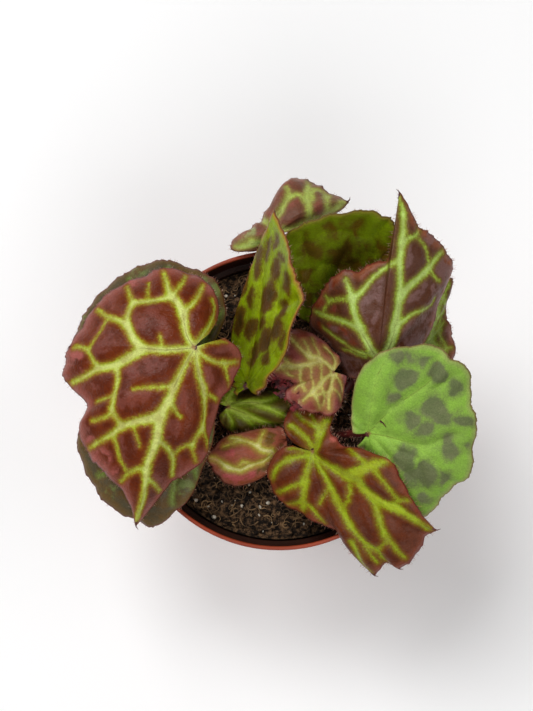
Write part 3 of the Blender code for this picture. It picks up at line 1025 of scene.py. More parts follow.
    def build_perlite(self) -> None:
        """Lay the white grains: those that the photograph shows, and some more at random."""
        lumps = []
        for spot in self.perlite_spots:
            place = self.view.on_level(spot, self.top + 1.5 * MM)
            lumps.append(self.lump_at(place.x, place.y, self.dice.uniform(0.55, 1.0) * MM, 1.2 * MM))
        for _ in range(self.perlite):
            lumps.append(self.lump_at(*self.anywhere(), self.dice.uniform(0.25, 0.6) * MM, 1.1 * MM))
        white = SpeckFinish((204, 196, 180), (150, 134, 112), scale=500)
        mesh = lumps_mesh("perlite", lumps, 2)
        add_piece("perlite", mesh, [white.material("perlite_white")])


@dataclass
class Rhizome:
    """The knobbly creeping stem, with leaf scars and dry brown scales."""

    radius: float = 5.5 * MM
    route: tuple[Place, ...] = (
        (-27, 14, 86), (-20, 10.5, 88), (-12, 6, 88), (2, 0, 88), (11, -5.5, 88), (17, -9.5, 86),
    )
    knobs: tuple[float, ...] = (0.62, 1.0, 0.9, 1.04, 0.94, 0.6)
    steps: int = 14
    scales: int = 26
    dice: random.Random = field(default_factory=lambda: random.Random(9))

    def build(self, skin: StemFinish, scale_skin: SpeckFinish) -> None:
        """Build the stem and its scales.

        Args:
            skin: The stem's finish.
            scale_skin: The scales' finish.
        """
        line = smooth_line(np.array(self.route) * MM, (), self.steps)
        knobs = smooth_line(np.array(self.knobs)[:, None], (), self.steps)[:, 0]
        points = [Vector(point) for point in line]
        mesh = strands_mesh("rhizome_stem", [Strand(points, self.radius, taper=0)], sides=12)
        bm = bmesh.new()
        bm.from_mesh(mesh)
        for vert in bm.verts:
            nearest = min(range(len(points)), key=lambda i: (points[i] - vert.co).length_squared)
            ring = 1 + 0.05 * math.cos(nearest * 1.6) + 0.09 * noise.noise(vert.co * 330)
            vert.co = points[nearest].lerp(vert.co, knobs[nearest] * ring)
        mesh = finish_mesh("rhizome_stem", bm)
        bark = skin.material("rhizome_bark")
        add_piece("rhizome_stem", mesh, [bark], replaces=["rhizome"])
        bits = bmesh.new()
        for i in range(self.scales):
            self.add_scale(bits, points[(i * 3 + 4) % len(points)])
        mesh = finish_mesh("rhizome_scales", bits)
        add_piece("rhizome_scales", mesh, [scale_skin.material("dry_scale")])

    def add_scale(self, bm: bmesh.types.BMesh, middle: Vector) -> None:
        """Add one curled papery scale beside a point of the stem.

        Args:
            bm: The bmesh to add it to.
            middle: The point.
        """
        made = bmesh.ops.create_grid(bm, x_segments=3, y_segments=5, size=0.5)["verts"]
        side = self.dice.uniform(0, math.pi)
        out = Vector((math.cos(side * 2), math.sin(side * 2), 0.9)).normalized()
        turn = out.to_track_quat("Y", "Z").to_matrix()
        length, width = self.dice.uniform(3, 6) * MM, self.dice.uniform(1.2, 2.4) * MM
        for vert in made:
            along = vert.co.y + 0.5
            across = vert.co.x * (1 - along**2)
            shape = Vector((across * width, along * length, -(along**2) * length * 0.35 - across**2 * 2 * MM))
            vert.co = middle + out * self.radius * 0.75 + turn @ shape


# The leaves


def lens(x0: float, y0: float, x1: float, y1: float, radius: float) -> tuple[Place, ...]:
    """Fill a long cell with overlapping circles, slimmer at both ends.

    Args:
        x0: Across at one end, in pixels.
        y0: Down at that end.
        x1: Across at the other end.
        y1: Down at that end.
        radius: The widest circle's radius.

    Returns:
        The circles as (across, down, radius).
    """
    count = max(3, round(math.hypot(x1 - x0, y1 - y0) / radius) + 2)
    return tuple(
        (x0 + (x1 - x0) * share, y0 + (y1 - y0) * share, radius * (0.35 + 2.6 * share * (1 - share)))
        for share in np.linspace(0.04, 0.96, count)
    )


@dataclass(frozen=True)
class LeafPlan:
    """A leaf's shape and drawing.

    The margin is a round of (bearing in degrees, reach, rise), counted from the petiole's end. ribs and tips
    are places in it: where a main vein ends, and where it has a sharp corner. Each row of veins is its width
    at either end, then across and down in pixels for each of its points, and ruled adds veins worked out by
    rule, for a leaf whose own hardly show. blotches, tinted and blushed hold round patches as (across, down,
    radius) in pixels. hairs and toothed are shares of the usual hairs and teeth.
    """

    name: str
    petiole: float
    foot: Spot
    on_rhizome: bool
    knees: tuple[Place, ...]
    attach: Place
    arch: float
    ribs: tuple[int, ...]
    tips: tuple[int, ...]
    margin: tuple[Place, ...]
    finish: LeafFinish
    veins: tuple[tuple[float, ...], ...] = ()
    blotches: tuple[Place, ...] = ()
    tinted: tuple[Place, ...] = ()
    blushed: tuple[Place, ...] = ()
    ruled: bool = False
    hairs: float = 1.0
    toothed: float = 1.0


RED_CELLS = LeafFinish(
    cell=(102, 40, 10), cell_too=(86, 31, 8), brink=(124, 72, 16), vein=(164, 182, 42),
    core=(196, 206, 116), margin=(148, 82, 70), tint=(148, 92, 88), blush=(164, 88, 80),
    softness=1.0, feather=1.7, margin_width=6,
)
OCHRE_CELLS = LeafFinish(
    cell=(98, 42, 12), cell_too=(80, 32, 10), brink=(112, 78, 14), vein=(136, 154, 18),
    core=(152, 170, 34), margin=(132, 64, 42), tint=(96, 62, 52), blush=(190, 104, 92),
    painted_sheen=(112, 72, 58), feather=1.7,
)
PURPLE_CELLS = LeafFinish(
    cell=(86, 52, 38), cell_too=(80, 42, 22), brink=(104, 80, 32), vein=(146, 172, 50),
    core=(180, 208, 112), margin=(146, 84, 56), tint=(118, 88, 80), blush=(112, 42, 12),
    painted_sheen=(122, 90, 86), painted_sheen_share=0.6, feather=1.6,
)
# Its tint is a painted reflection: the grey-green sky sheen on the back leaf's turned-down end.
PALE_CELLS = LeafFinish(
    cell=(132, 76, 60), cell_too=(108, 68, 50), brink=(130, 110, 60), vein=(172, 194, 84),
    core=(176, 196, 104), margin=(140, 92, 66), tint=(142, 148, 92), softness=1.0, feather=1.6,
    tint_share=0.95,
)
DARK_CELLS = LeafFinish(
    cell=(92, 68, 34), cell_too=(80, 72, 52), brink=(98, 96, 48), vein=(116, 140, 60),
    core=(138, 160, 80), margin=(104, 80, 44), tint=(116, 134, 70), softness=1.4, feather=2.4,
    tint_share=0.6, painted_sheen_share=0.0,
)
BRIGHT_GREEN = LeafFinish(
    cell=(80, 48, 8), cell_too=(66, 48, 10), brink=(92, 66, 6), vein=(134, 158, 3),
    core=(156, 178, 5), margin=(156, 104, 42), tint=(150, 104, 48), softness=0.7, feather=1.3,
    margin_width=2.4, core_reach=1.4, painted_sheen_share=0.0, marking=Marking.BLOTCHED,
)
GREEN_CELLS = LeafFinish(
    cell=(92, 74, 24), cell_too=(74, 64, 26), brink=(104, 106, 24), vein=(140, 170, 30),
    core=(184, 206, 82), margin=(116, 112, 42), tint=(146, 170, 48), softness=0.8, feather=1.6,
    margin_width=2, painted_sheen_share=0.0,
)
ROSE_CELLS = LeafFinish(
    cell=(130, 58, 42), cell_too=(146, 78, 70), brink=(150, 112, 62), vein=(184, 180, 88),
    core=(208, 204, 132), margin=(170, 112, 92), tint=(196, 190, 136), lip=(150, 62, 66),
    softness=0.4, feather=0.7, margin_width=1.5, tint_share=0.7, painted_sheen=(170, 112, 116), painted_sheen_share=0.4,
)
BLUSH_CELLS = LeafFinish(
    cell=(150, 78, 56), cell_too=(132, 68, 38), brink=(152, 118, 50), vein=(176, 176, 60),
    core=(220, 214, 146), margin=(170, 104, 86), tint=(100, 72, 20), blush=(178, 82, 82),
    softness=0.7, margin_width=2.5, tint_share=0.95,
)
OLIVE_BLOTCHED = LeafFinish(
    cell=(104, 80, 10), cell_too=(92, 74, 14), brink=(100, 100, 8), vein=(116, 138, 8),
    core=(134, 162, 12), margin=(120, 108, 30), tint=(56, 78, 34), lip=(92, 66, 30),
    softness=2.4, feather=4.0, margin_width=1.6, core_reach=3, roughness=0.46, painted_sheen_share=0.0,
    marking=Marking.BLOTCHED,
)
SAGE_BLOTCHED = LeafFinish(
    cell=(92, 102, 62), cell_too=(104, 110, 72), brink=(114, 138, 62), vein=(126, 166, 58),
    core=(142, 182, 70), margin=(148, 156, 90), tint=(150, 128, 88), lip=(128, 96, 62),
    softness=1.5, feather=3.2, margin_width=2, core_reach=2.5, roughness=0.46, painted_sheen_share=0.0,
    marking=Marking.BLOTCHED,
)

FRONT_LEFT_LEAF = LeafPlan(
    name="leaf_front_left", petiole=3.4, foot=(-21, 10.5), on_rhizome=True,
    knees=((-22, 11, 106), (-25, 12.5, 122)), attach=(-32, 14, 140), arch=6,
    ribs=(2, 5, 8, 12, 16, 19, 23, 26), tips=(10, 19),
    margin=(
        (45, 8, -3), (56, 15, -6), (69, 22, -7), (83, 27, -9), (96, 30, -10), (110, 34, -11), (124, 35, -12),
        (138, 38, -12), (155, 42, -13), (167, 44, -15), (176, 48, -17), (184, 50, -19), (191, 51, -21),
        (205, 45, -17), (212, 52, -19), (221, 55, -20), (231, 56, -21), (241, 58, -24), (247, 63, -27),
        (250, 69, -31), (253, 61, -28), (259, 49, -24), (266, 45, -21), (276, 39, -17), (280, 32, -13),
        (297, 21, -10), (324, 18, -9), (357, 17, -8), (381, 12, -5),
    ),
    finish=RED_CELLS,
    veins=(
        (2.2, 3.2, 195, 348, 180, 349, 165, 350, 152, 349, 141, 348),
        (3.4, 2.8, 141, 348, 133, 337, 127, 325), (2.4, 1.1, 127, 325, 120, 321, 108, 317, 98, 310),
        (3.6, 2.6, 141, 350, 130, 357, 118, 364, 107, 367, 98, 368),
        (2.2, 1.2, 98, 368, 88, 375, 76, 381, 66, 387),
        (1.6, 0.8, 98, 367, 92, 358, 88, 350, 80, 347, 74, 348),
        (2, 1.6, 117, 366, 118, 380, 115, 395, 112, 408), (1.3, 0.5, 112, 410, 109, 415, 100, 419, 92, 421),
        (0.9, 0.5, 113, 396, 105, 399, 97, 402), (1.6, 1.8, 112, 409, 116, 417, 122, 425),
        (2, 2, 127, 325, 128, 316, 131, 308, 134, 303), (1.8, 2, 134, 303, 145, 302, 160, 300, 171, 297),
        (1.3, 0.8, 133, 304, 130, 295, 127, 287), (0.6, 0.3, 148, 302, 148, 292, 149, 284),
        (0.6, 0.2, 162, 347, 161, 340, 160, 335), (0.5, 0.3, 107, 321, 101, 331, 94, 342, 89, 349),
        (0.4, 0.3, 204, 341, 212, 333, 216, 322), (2.4, 3, 195, 348, 188, 338, 185, 328, 183, 314),
        (3, 3, 183, 314, 178, 304, 172, 297), (2.4, 0.9, 171, 297, 168, 289, 166, 280, 163, 271),
        (1.4, 0.6, 172, 297, 178, 289, 183, 282, 186, 275),
        (1.9, 0.8, 184, 312, 192, 305, 198, 297, 201, 290, 203, 285),
        (1.7, 0.8, 195, 348, 200, 338, 207, 328, 212, 318, 214, 308, 212, 300),
        (1.8, 2.6, 195, 348, 187, 361, 179, 376, 174, 387),
        (2.8, 3.2, 174, 387, 170, 398, 165, 407, 160, 416),
        (1.2, 0.4, 174, 386, 160, 387, 148, 387, 134, 389),
        (1.7, 0.6, 168, 400, 173, 407, 177, 413, 181, 417), (4, 2.4, 160, 416, 148, 419, 135, 422, 122, 426),
        (2.4, 1, 122, 426, 112, 434, 100, 441, 88, 449), (0.9, 0.5, 113, 435, 117, 445, 120, 458, 126, 469),
        (0.5, 0.3, 133, 425, 137, 436, 140, 446),
        (3.6, 2.6, 160, 416, 158, 430, 156, 441, 152, 452, 148, 462, 146, 472),
        (2.4, 1.2, 146, 472, 145, 485, 143, 500, 139, 512, 136, 522),
        (1.7, 0.9, 147, 469, 137, 469, 128, 474, 121, 481),
        (2, 1.2, 157, 440, 165, 446, 171, 453, 173, 463, 172, 475), (1.3, 0.7, 146, 477, 153, 483, 160, 491),
        (2, 2.4, 195, 348, 197, 362, 199, 375, 203, 388), (2.2, 1.2, 203, 388, 204, 402, 204, 416, 202, 428),
        (1.3, 1, 202, 428, 196, 437, 192, 444), (0.9, 0.5, 192, 444, 193, 452, 196, 461),
        (0.8, 0.4, 192, 444, 184, 446, 177, 451, 172, 456), (1, 0.5, 204, 393, 211, 396, 217, 400),
        (0.7, 0.4, 202, 430, 206, 438, 208, 448), (1.6, 1, 195, 348, 205, 357, 213, 361, 224, 363, 238, 362),
        (0.9, 0.4, 224, 363, 226, 373, 229, 386), (1.2, 0.4, 198, 346, 208, 343, 225, 342),
    ),
    blushed=(
        (103, 458, 12), (118, 472, 8), (92, 440, 6), (84, 372, 8), (78, 355, 8), (176, 268, 5),
        (134, 284, 6),
    ),
)
LEFT_UNDER_LEAF = LeafPlan(
    name="leaf_left_under", petiole=3, foot=(-28, 3), on_rhizome=False, knees=((-29, 3, 104),),
    attach=(-34, 6, 120), arch=4, ribs=(2, 6, 10, 14, 18, 22, 25), tips=(),
    margin=(
        (55, 14, 2), (60, 25, 2), (66, 31, 1), (74, 37, 0), (82, 40, -1), (93, 43, -3), (102, 47, -5),
        (112, 48, -6), (122, 49, -7), (133, 49, -8), (144, 49, -9), (156, 49, -10), (166, 48, -11),
        (177, 43, -11), (190, 40, -11), (200, 43, -12), (206, 49, -13), (216, 53, -14), (228, 56, -15),
        (238, 58, -16), (248, 58, -17), (256, 58, -17), (263, 51, -14), (270, 45, -11), (277, 35, -7),
        (288, 26, -4), (302, 17, -2), (315, 9, 0),
    ),
    finish=DARK_CELLS, ruled=True,
    tinted=((140, 268, 12), (82, 318, 10), (86, 340, 8), (112, 492, 9), (186, 488, 12), (218, 290, 9)),
)
UPRIGHT_LEAF = LeafPlan(
    name="leaf_upright", petiole=3.2, foot=(-11, 8), on_rhizome=True, knees=((-11, 8, 102),),
    attach=(-13, 3, 112), arch=-3, ribs=(5, 10, 13, 17, 20), tips=(10, 15),
    margin=(
        (218, 5, -3), (131, 7, -8), (107, 11, -10), (105, 20, -12), (99, 29, -12), (94, 37, -10),
        (90, 44, -6), (87, 50, 0), (84, 56, 7), (82, 60, 15), (80, 65, 22), (76, 59, 24), (71, 52, 29),
        (68, 46, 32), (62, 40, 34), (52, 35, 36), (50, 30, 34), (45, 25, 31), (35, 20, 26), (24, 13, 18),
        (-9, 7, 8), (-43, 5, 2),
    ),
    finish=BRIGHT_GREEN, hairs=1.6, toothed=2,
    veins=(
        (1.5, 1.2, 247, 388, 249, 372, 252, 355), (1.2, 0.8, 252, 355, 256, 335, 259, 318),
        (1, 0.6, 259, 318, 261, 300, 263, 282), (1.2, 0.8, 268, 350, 276, 312, 280, 285),
        (1, 0.6, 276, 312, 288, 305, 298, 299), (0.8, 0.5, 264, 275, 267, 255, 270, 232),
    ),
    blotches=(
        *lens(279, 234, 277, 249, 3), *lens(271, 238, 268, 262, 4), *lens(262, 243, 261, 266, 3),
        *lens(253, 250, 250, 266, 2.5), *lens(283, 252, 288, 262, 2.5), *lens(280, 258, 276, 282, 5.5),
        *lens(262, 262, 258, 280, 3.5), *lens(289, 272, 290, 296, 4.5), *lens(274, 284, 266, 312, 8.5),
        *lens(247, 268, 245, 298, 5), *lens(256, 286, 253, 310, 3.5), *lens(287, 300, 283, 318, 4),
        *lens(243, 306, 241, 336, 6.5), *lens(255, 318, 250, 340, 4.5), *lens(266, 318, 264, 330, 4),
        *lens(281, 318, 276, 342, 6), *lens(271, 330, 264, 350, 6), *lens(259, 342, 253, 366, 6),
        *lens(272, 350, 266, 366, 4), *lens(286, 330, 284, 350, 2.5),
    ),
)
BACK_LEAF = LeafPlan(
    name="leaf_back", petiole=3, foot=(-3, 13), on_rhizome=False,
    knees=((-3, 22, 98), (-4, 42, 101), (-4, 57, 106)), attach=(-3, 63, 112), arch=4, ribs=(4, 8, 11, 13),
    tips=(13,),
    margin=(
        (226, 6, -3), (208, 11, -6), (197, 15, -8), (185, 16, -8), (174, 13, -7), (154, 9, -5), (119, 8, -4),
        (92, 13, -3), (82, 19, -4), (74, 24, -5), (65, 27, -6), (53, 28, -5), (38, 29, -4), (26, 34, -3),
        (22, 29, -2), (20, 21, -1), (16, 14, 0), (6, 7, 1),
    ),
    # The tinted patches paint the grey-green reflection of the sky on the leaf's left end.
    finish=PALE_CELLS, tinted=((243, 240, 8), (250, 232, 8)),
    veins=(
        (1.6, 1.2, 272, 234, 274, 224, 277, 217, 281, 211), (1.3, 1, 281, 211, 285, 203, 289, 197),
        (1, 1.3, 289, 197, 296, 195, 302, 197, 307, 202), (1.8, 1.8, 309, 218, 309, 208, 307, 201),
        (1.8, 1.2, 307, 201, 307, 192, 309, 182), (0.9, 0.5, 289, 197, 288, 191, 286, 187),
        (1.4, 1, 312, 200, 312, 192, 318, 190, 325, 194), (1, 1.6, 325, 194, 327, 203, 327, 212),
        (1.4, 2.2, 309, 217, 318, 218, 327, 214), (2.6, 2.4, 327, 214, 335, 209, 345, 202),
        (0.9, 0.5, 326, 200, 330, 195, 332, 193), (1.8, 1.2, 272, 234, 270, 226, 264, 221, 262, 222),
        (2, 2.6, 272, 236, 262, 242, 252, 243), (2.6, 1.6, 252, 243, 242, 247, 236, 248),
        (1.4, 1.4, 272, 236, 282, 230, 294, 227, 309, 218),
    ),
)
BACK_INNER_LEAF = LeafPlan(
    name="leaf_back_inner", petiole=3, foot=(11, 17), on_rhizome=False, knees=((13, 23, 96),),
    attach=(17, 31, 99), arch=-5, ribs=(3, 7, 10, 13, 16), tips=(),
    margin=(
        (198, 5, 3), (176, 9, 7), (154, 12, 13), (142, 16, 20), (131, 22, 23), (125, 27, 27), (119, 31, 31),
        (107, 32, 36), (94, 32, 40), (79, 35, 40), (66, 39, 39), (57, 40, 37), (49, 41, 34), (39, 39, 29),
        (30, 36, 23), (22, 30, 17), (15, 22, 12), (5, 14, 8), (-9, 7, 3),
    ),
    finish=OLIVE_BLOTCHED,
    blotches=(
        (309, 244, 10), (314, 251, 9), (304, 252, 7), (329, 227, 9), (336, 231, 6), (351, 223, 9),
        (355, 229, 7), (338, 253, 13), (350, 247, 11), (352, 262, 11), (340, 266, 9), (385, 245, 10),
        (382, 256, 10), (373, 264, 8), (306, 277, 9), (322, 289, 11), (292, 262, 6), (345, 280, 10),
        (366, 248, 5), (310, 300, 11), (296, 294, 8),
    ),
    tinted=((312, 300, 22), (300, 318, 16)), ruled=True, toothed=1.6,
)
BACK_RIGHT_LEAF = LeafPlan(
    name="leaf_back_right", petiole=4.4, foot=(22, -1), on_rhizome=False, knees=((25, 2, 98), (31, 9, 106)),
    attach=(37, 10, 127), arch=4, ribs=(3, 6, 9, 13, 16, 19), tips=(13,),
    margin=(
        (216, 7, -8), (198, 10, -16), (170, 14, -20), (154, 20, -20), (147, 28, -20), (140, 32, -12),
        (128, 34, -4), (112, 37, 3), (101, 35, 4), (93, 37, 6), (84.5, 38, 8), (83.2, 45, 9), (82.6, 54, 11),
        (82.4, 64, 12), (77, 57, 11), (73, 53, 9), (64, 52, 4), (57, 50, 0), (52, 48, -3), (49, 42, -5),
        (45, 34, -6), (33, 25, -7), (18, 16, -7), (-8, 7, -4),
    ),
    finish=PURPLE_CELLS,
    veins=(
        (3.4, 4.2, 379, 362, 386, 352, 391, 342, 395, 325), (4, 3, 395, 325, 398, 308, 400, 292),
        (2.4, 2.6, 400, 292, 400, 275, 400, 260, 402, 243), (2.6, 1.8, 402, 243, 403, 230, 403, 215),
        (1.8, 0.7, 403, 215, 402, 207, 398, 196), (3.6, 2.4, 401, 297, 407, 288, 415, 281, 424, 273),
        (2.4, 1.4, 424, 273, 430, 266, 437, 257, 443, 250),
        (0.7, 0.6, 428, 268, 427, 255, 424, 246, 419, 240),
        (1.6, 1, 402, 244, 409, 238, 415, 236, 418, 231, 420, 225), (0.7, 0.5, 430, 270, 434, 276, 439, 281),
        (2.2, 0.9, 397, 326, 404, 320, 412, 314, 422, 310), (0.8, 0.5, 422, 310, 430, 305, 434, 298),
        (3, 3, 378, 360, 371, 349, 366, 340, 360, 328), (2.8, 2.6, 360, 328, 356, 318, 353, 306, 352, 298),
        (2.2, 1.2, 352, 298, 349, 288, 346, 279),
        (2.2, 1.4, 353, 299, 362, 291, 372, 279, 382, 271, 392, 264, 398, 261),
        (1, 0.5, 352, 299, 340, 299, 331, 300, 326, 296), (0.6, 0.4, 331, 300, 327, 306, 324, 310),
        (2.2, 1.1, 358, 328, 348, 323, 340, 320, 330, 317, 322, 314, 314, 311),
        (1.1, 0.8, 374, 354, 362, 352, 352, 348, 344, 342, 334, 335, 324, 327),
        (1, 0.6, 365, 356, 357, 354, 350, 350, 344, 349),
    ),
    hairs=1.5,
    blushed=(
        (332, 306, 10), (338, 286, 8), (325, 322, 9), (345, 330, 9), (366, 278, 8), (350, 345, 9),
        (320, 305, 8),
    ),
    toothed=1.3,
)
RIGHT_UNDER_LEAF = LeafPlan(
    name="leaf_right_under", petiole=2.6, foot=(33, 3), on_rhizome=False, knees=((37, 6, 97), (48, 14, 102)),
    attach=(54, 17, 106), arch=2, ribs=(1, 4, 7, 10), tips=(),
    margin=(
        (131, 6, 1), (102, 13, 3), (85, 22, 5), (74, 29, 6), (65, 32, 5), (61, 29, 3), (58, 23, 1),
        (48, 18, 0), (27, 16, -2), (-6, 15, -2), (-35, 15, -2), (-62, 12, -1), (-94, 6, 0),
    ),
    finish=PURPLE_CELLS,
    veins=(
        (2.4, 2, 415, 352, 428, 345, 432, 332, 436, 318), (2, 1, 436, 318, 438, 305, 441, 290, 449, 279),
        (1, 0.6, 436, 318, 443, 312, 447, 310), (0.9, 0.5, 431, 340, 438, 345, 445, 352),
    ),
    ruled=True,
)
RIGHT_LEAF = LeafPlan(
    name="leaf_right", petiole=3.8, foot=(21, -16), on_rhizome=False, knees=((24, -15, 102),),
    attach=(34, -16, 120), arch=3, ribs=(3, 6, 9, 13, 16, 19), tips=(),
    margin=(
        (176, 6, 0), (130, 10, 2), (111, 16, 5), (100, 22, 11), (89, 26, 15), (78, 30, 18), (64, 34, 18),
        (52, 39, 17), (42, 40, 15), (33, 43, 13), (24, 41, 11), (15, 39, 10), (4, 40, 8), (-9, 39, 5),
        (-22, 41, 1), (-30, 38, -2), (-41, 37, -7), (-50, 38, -12), (-56, 36, -15), (-60, 29, -15),
        (-65, 19, -12), (-80, 8, -8), (-133, 6, -5),
    ),
    finish=SAGE_BLOTCHED,
    blotches=(
        *lens(400, 374, 414, 380, 14), *lens(432, 370, 444, 376, 12), *lens(406, 422, 420, 417, 11),
        *lens(418, 434, 434, 426, 10), *lens(446, 438, 452, 456, 13), *lens(398, 453, 412, 461, 13),
        *lens(428, 460, 426, 484, 12), (394, 396, 10), (454, 388, 9), (434, 407, 16), (445, 418, 13),
        (464, 421, 10), (414, 473, 12), (424, 499, 10), (443, 476, 8), (399, 356, 9), (422, 358, 8),
        (411, 355, 7), (468, 446, 6),
    ),
    veins=(
        (1.6, 1, 368, 433, 370, 415, 373, 395, 378, 375, 388, 355),
        (1.8, 1, 368, 433, 385, 415, 400, 403, 418, 390, 430, 380, 440, 355),
        (1.8, 1.2, 368, 433, 385, 436, 400, 440, 415, 445, 428, 447),
        (1.2, 0.8, 428, 447, 437, 442, 447, 438, 456, 434),
        (1.4, 0.8, 368, 433, 376, 440, 382, 448, 388, 456),
        (1.2, 0.8, 415, 445, 430, 458, 440, 470, 452, 482), (1.2, 0.8, 420, 389, 436, 388, 452, 376),
        (1.2, 0.8, 388, 436, 398, 450, 418, 460, 424, 490),
    ),
    hairs=0.6, toothed=0.7,
)
CENTRE_LEAF = LeafPlan(
    name="leaf_centre", petiole=2.8, foot=(7, 0), on_rhizome=True, knees=((11, 2.5, 103),),
    attach=(21, 8, 117), arch=3, ribs=(3, 7, 11, 14), tips=(),
    margin=(
        (55, 5, 0), (92, 8, 0), (113, 14, 0), (124, 19, 0), (135, 23, -1), (148, 21, 0), (161, 21, 1),
        (171, 24, 0), (182, 24, -1), (187, 21, -1), (197, 16, 0), (203, 20, 0), (218, 20, -1), (234, 18, -2),
        (250, 16, -3), (267, 16, -3), (284, 12, -3), (303, 7, -2), (343, 5, -1),
    ),
    finish=ROSE_CELLS, tinted=((338, 368, 7), (277, 363, 6), (334, 358, 5), (300, 403, 5)),
    veins=(
        (1, 1.2, 333, 372, 328, 365, 319, 359, 310, 357), (1.2, 0.9, 310, 357, 304, 352, 298, 346, 291, 338),
        (1.2, 1, 320, 361, 311, 364, 302, 366, 292, 367), (1, 0.8, 292, 367, 284, 366, 277, 369),
        (0.8, 0.5, 292, 367, 287, 361, 281, 355), (0.8, 0.7, 302, 366, 300, 374, 302, 383, 305, 390),
        (0.5, 0.3, 283, 367, 287, 373, 293, 376), (0.6, 0.4, 310, 357, 309, 350, 304, 341),
        (0.5, 0.3, 319, 359, 318, 352, 314, 345, 312, 339), (1, 1.1, 333, 374, 326, 378, 320, 385, 313, 392),
        (0.8, 0.5, 313, 392, 307, 397, 303, 401), (0.7, 0.4, 313, 392, 317, 400, 320, 409),
        (1, 0.8, 333, 375, 331, 386, 329, 398, 329, 409), (0.8, 0.5, 335, 375, 340, 383, 342, 391),
        (0.4, 0.3, 331, 388, 337, 392, 341, 400), (0.4, 0.3, 320, 385, 324, 395, 323, 405),
        (1, 0.7, 333, 371, 335, 362, 331, 354, 325, 348), (0.4, 0.3, 321, 363, 321, 372, 321, 382),
        (0.4, 0.3, 311, 364, 311, 374, 313, 384, 313, 391), (0.3, 0.2, 329, 392, 322, 393, 316, 396),
        (0.3, 0.2, 305, 383, 299, 386, 295, 390),
    ),
    hairs=1.4, toothed=1.3,
)
LEFT_INNER_LEAF = LeafPlan(
    name="leaf_left_inner", petiole=2.4, foot=(-17, -4), on_rhizome=False, knees=((-18, -4, 98),),
    attach=(-20, -4, 104), arch=2, ribs=(3, 6, 8, 10), tips=(),
    margin=(
        (158, 5, -2), (105, 7, -4), (77, 9, -5), (44, 11, -5), (28, 17, -4), (19, 22, -2), (6, 24, 0),
        (-5, 25, 0), (-15, 24, -4), (-23, 20, -8), (-36, 15, -6), (-65, 11, -6), (-96, 8, -6), (-142, 5, -4),
    ),
    finish=GREEN_CELLS, tinted=((229, 398, 9), (223, 412, 7), (232, 411, 6), (272, 392, 5), (236, 391, 7)),
    veins=(
        (2.4, 3, 225, 406, 235, 409, 245, 413), (3, 1.8, 245, 413, 256, 418, 268, 423, 281, 427),
        (2.2, 2.4, 230, 403, 245, 403, 258, 403), (2, 1.4, 258, 403, 270, 400, 282, 393),
        (1.8, 1, 252, 403, 265, 407, 277, 412, 288, 417), (1.2, 0.9, 225, 407, 238, 414, 250, 422, 257, 429),
        (1.4, 0.9, 226, 409, 232, 420, 234, 430), (2.4, 2, 226, 404, 230, 396, 236, 389),
    ),
    hairs=1.4,
)
FRONT_SMALL_LEAF = LeafPlan(
    name="leaf_front_small", petiole=2.4, foot=(5, -15), on_rhizome=False, knees=((4.5, -15.5, 97),),
    attach=(3, -17, 103), arch=2, ribs=(3, 7, 10), tips=(7,),
    margin=(
        (268, 5, -1), (253, 9, -3), (237, 16, -4), (227, 23, -5), (218, 28, -5), (207, 30, -3),
        (199, 31, -1), (192, 32, 1), (187, 29, 1), (177, 24, 1), (171, 18, 1), (158, 11, 1), (138, 7, 0),
        (108, 5, 0),
    ),
    finish=BLUSH_CELLS, tinted=((270, 440, 10), (282, 442, 8), (272, 462, 8), (262, 470, 7)),
    veins=(
        (0.9, 1.4, 231, 438, 240, 440, 250, 443, 257, 446), (0.3, 0.6, 224, 447, 232, 444, 240, 441),
        (1, 0.6, 258, 445, 261, 438, 264, 431), (1.5, 2, 257, 446, 263, 450, 271, 451),
        (0.8, 1.8, 209, 458, 216, 459, 222, 463, 228, 467), (2, 1.6, 228, 467, 235, 469, 241, 470, 248, 466),
        (1.4, 0.9, 248, 466, 255, 464, 262, 462), (1.2, 0.6, 262, 462, 268, 458, 272, 452),
        (0.3, 0.2, 240, 464, 243, 461, 247, 462),
    ),
    hairs=1.4, blushed=((238, 478, 9), (226, 478, 7), (250, 474, 7), (214, 462, 7), (230, 452, 6)),
)
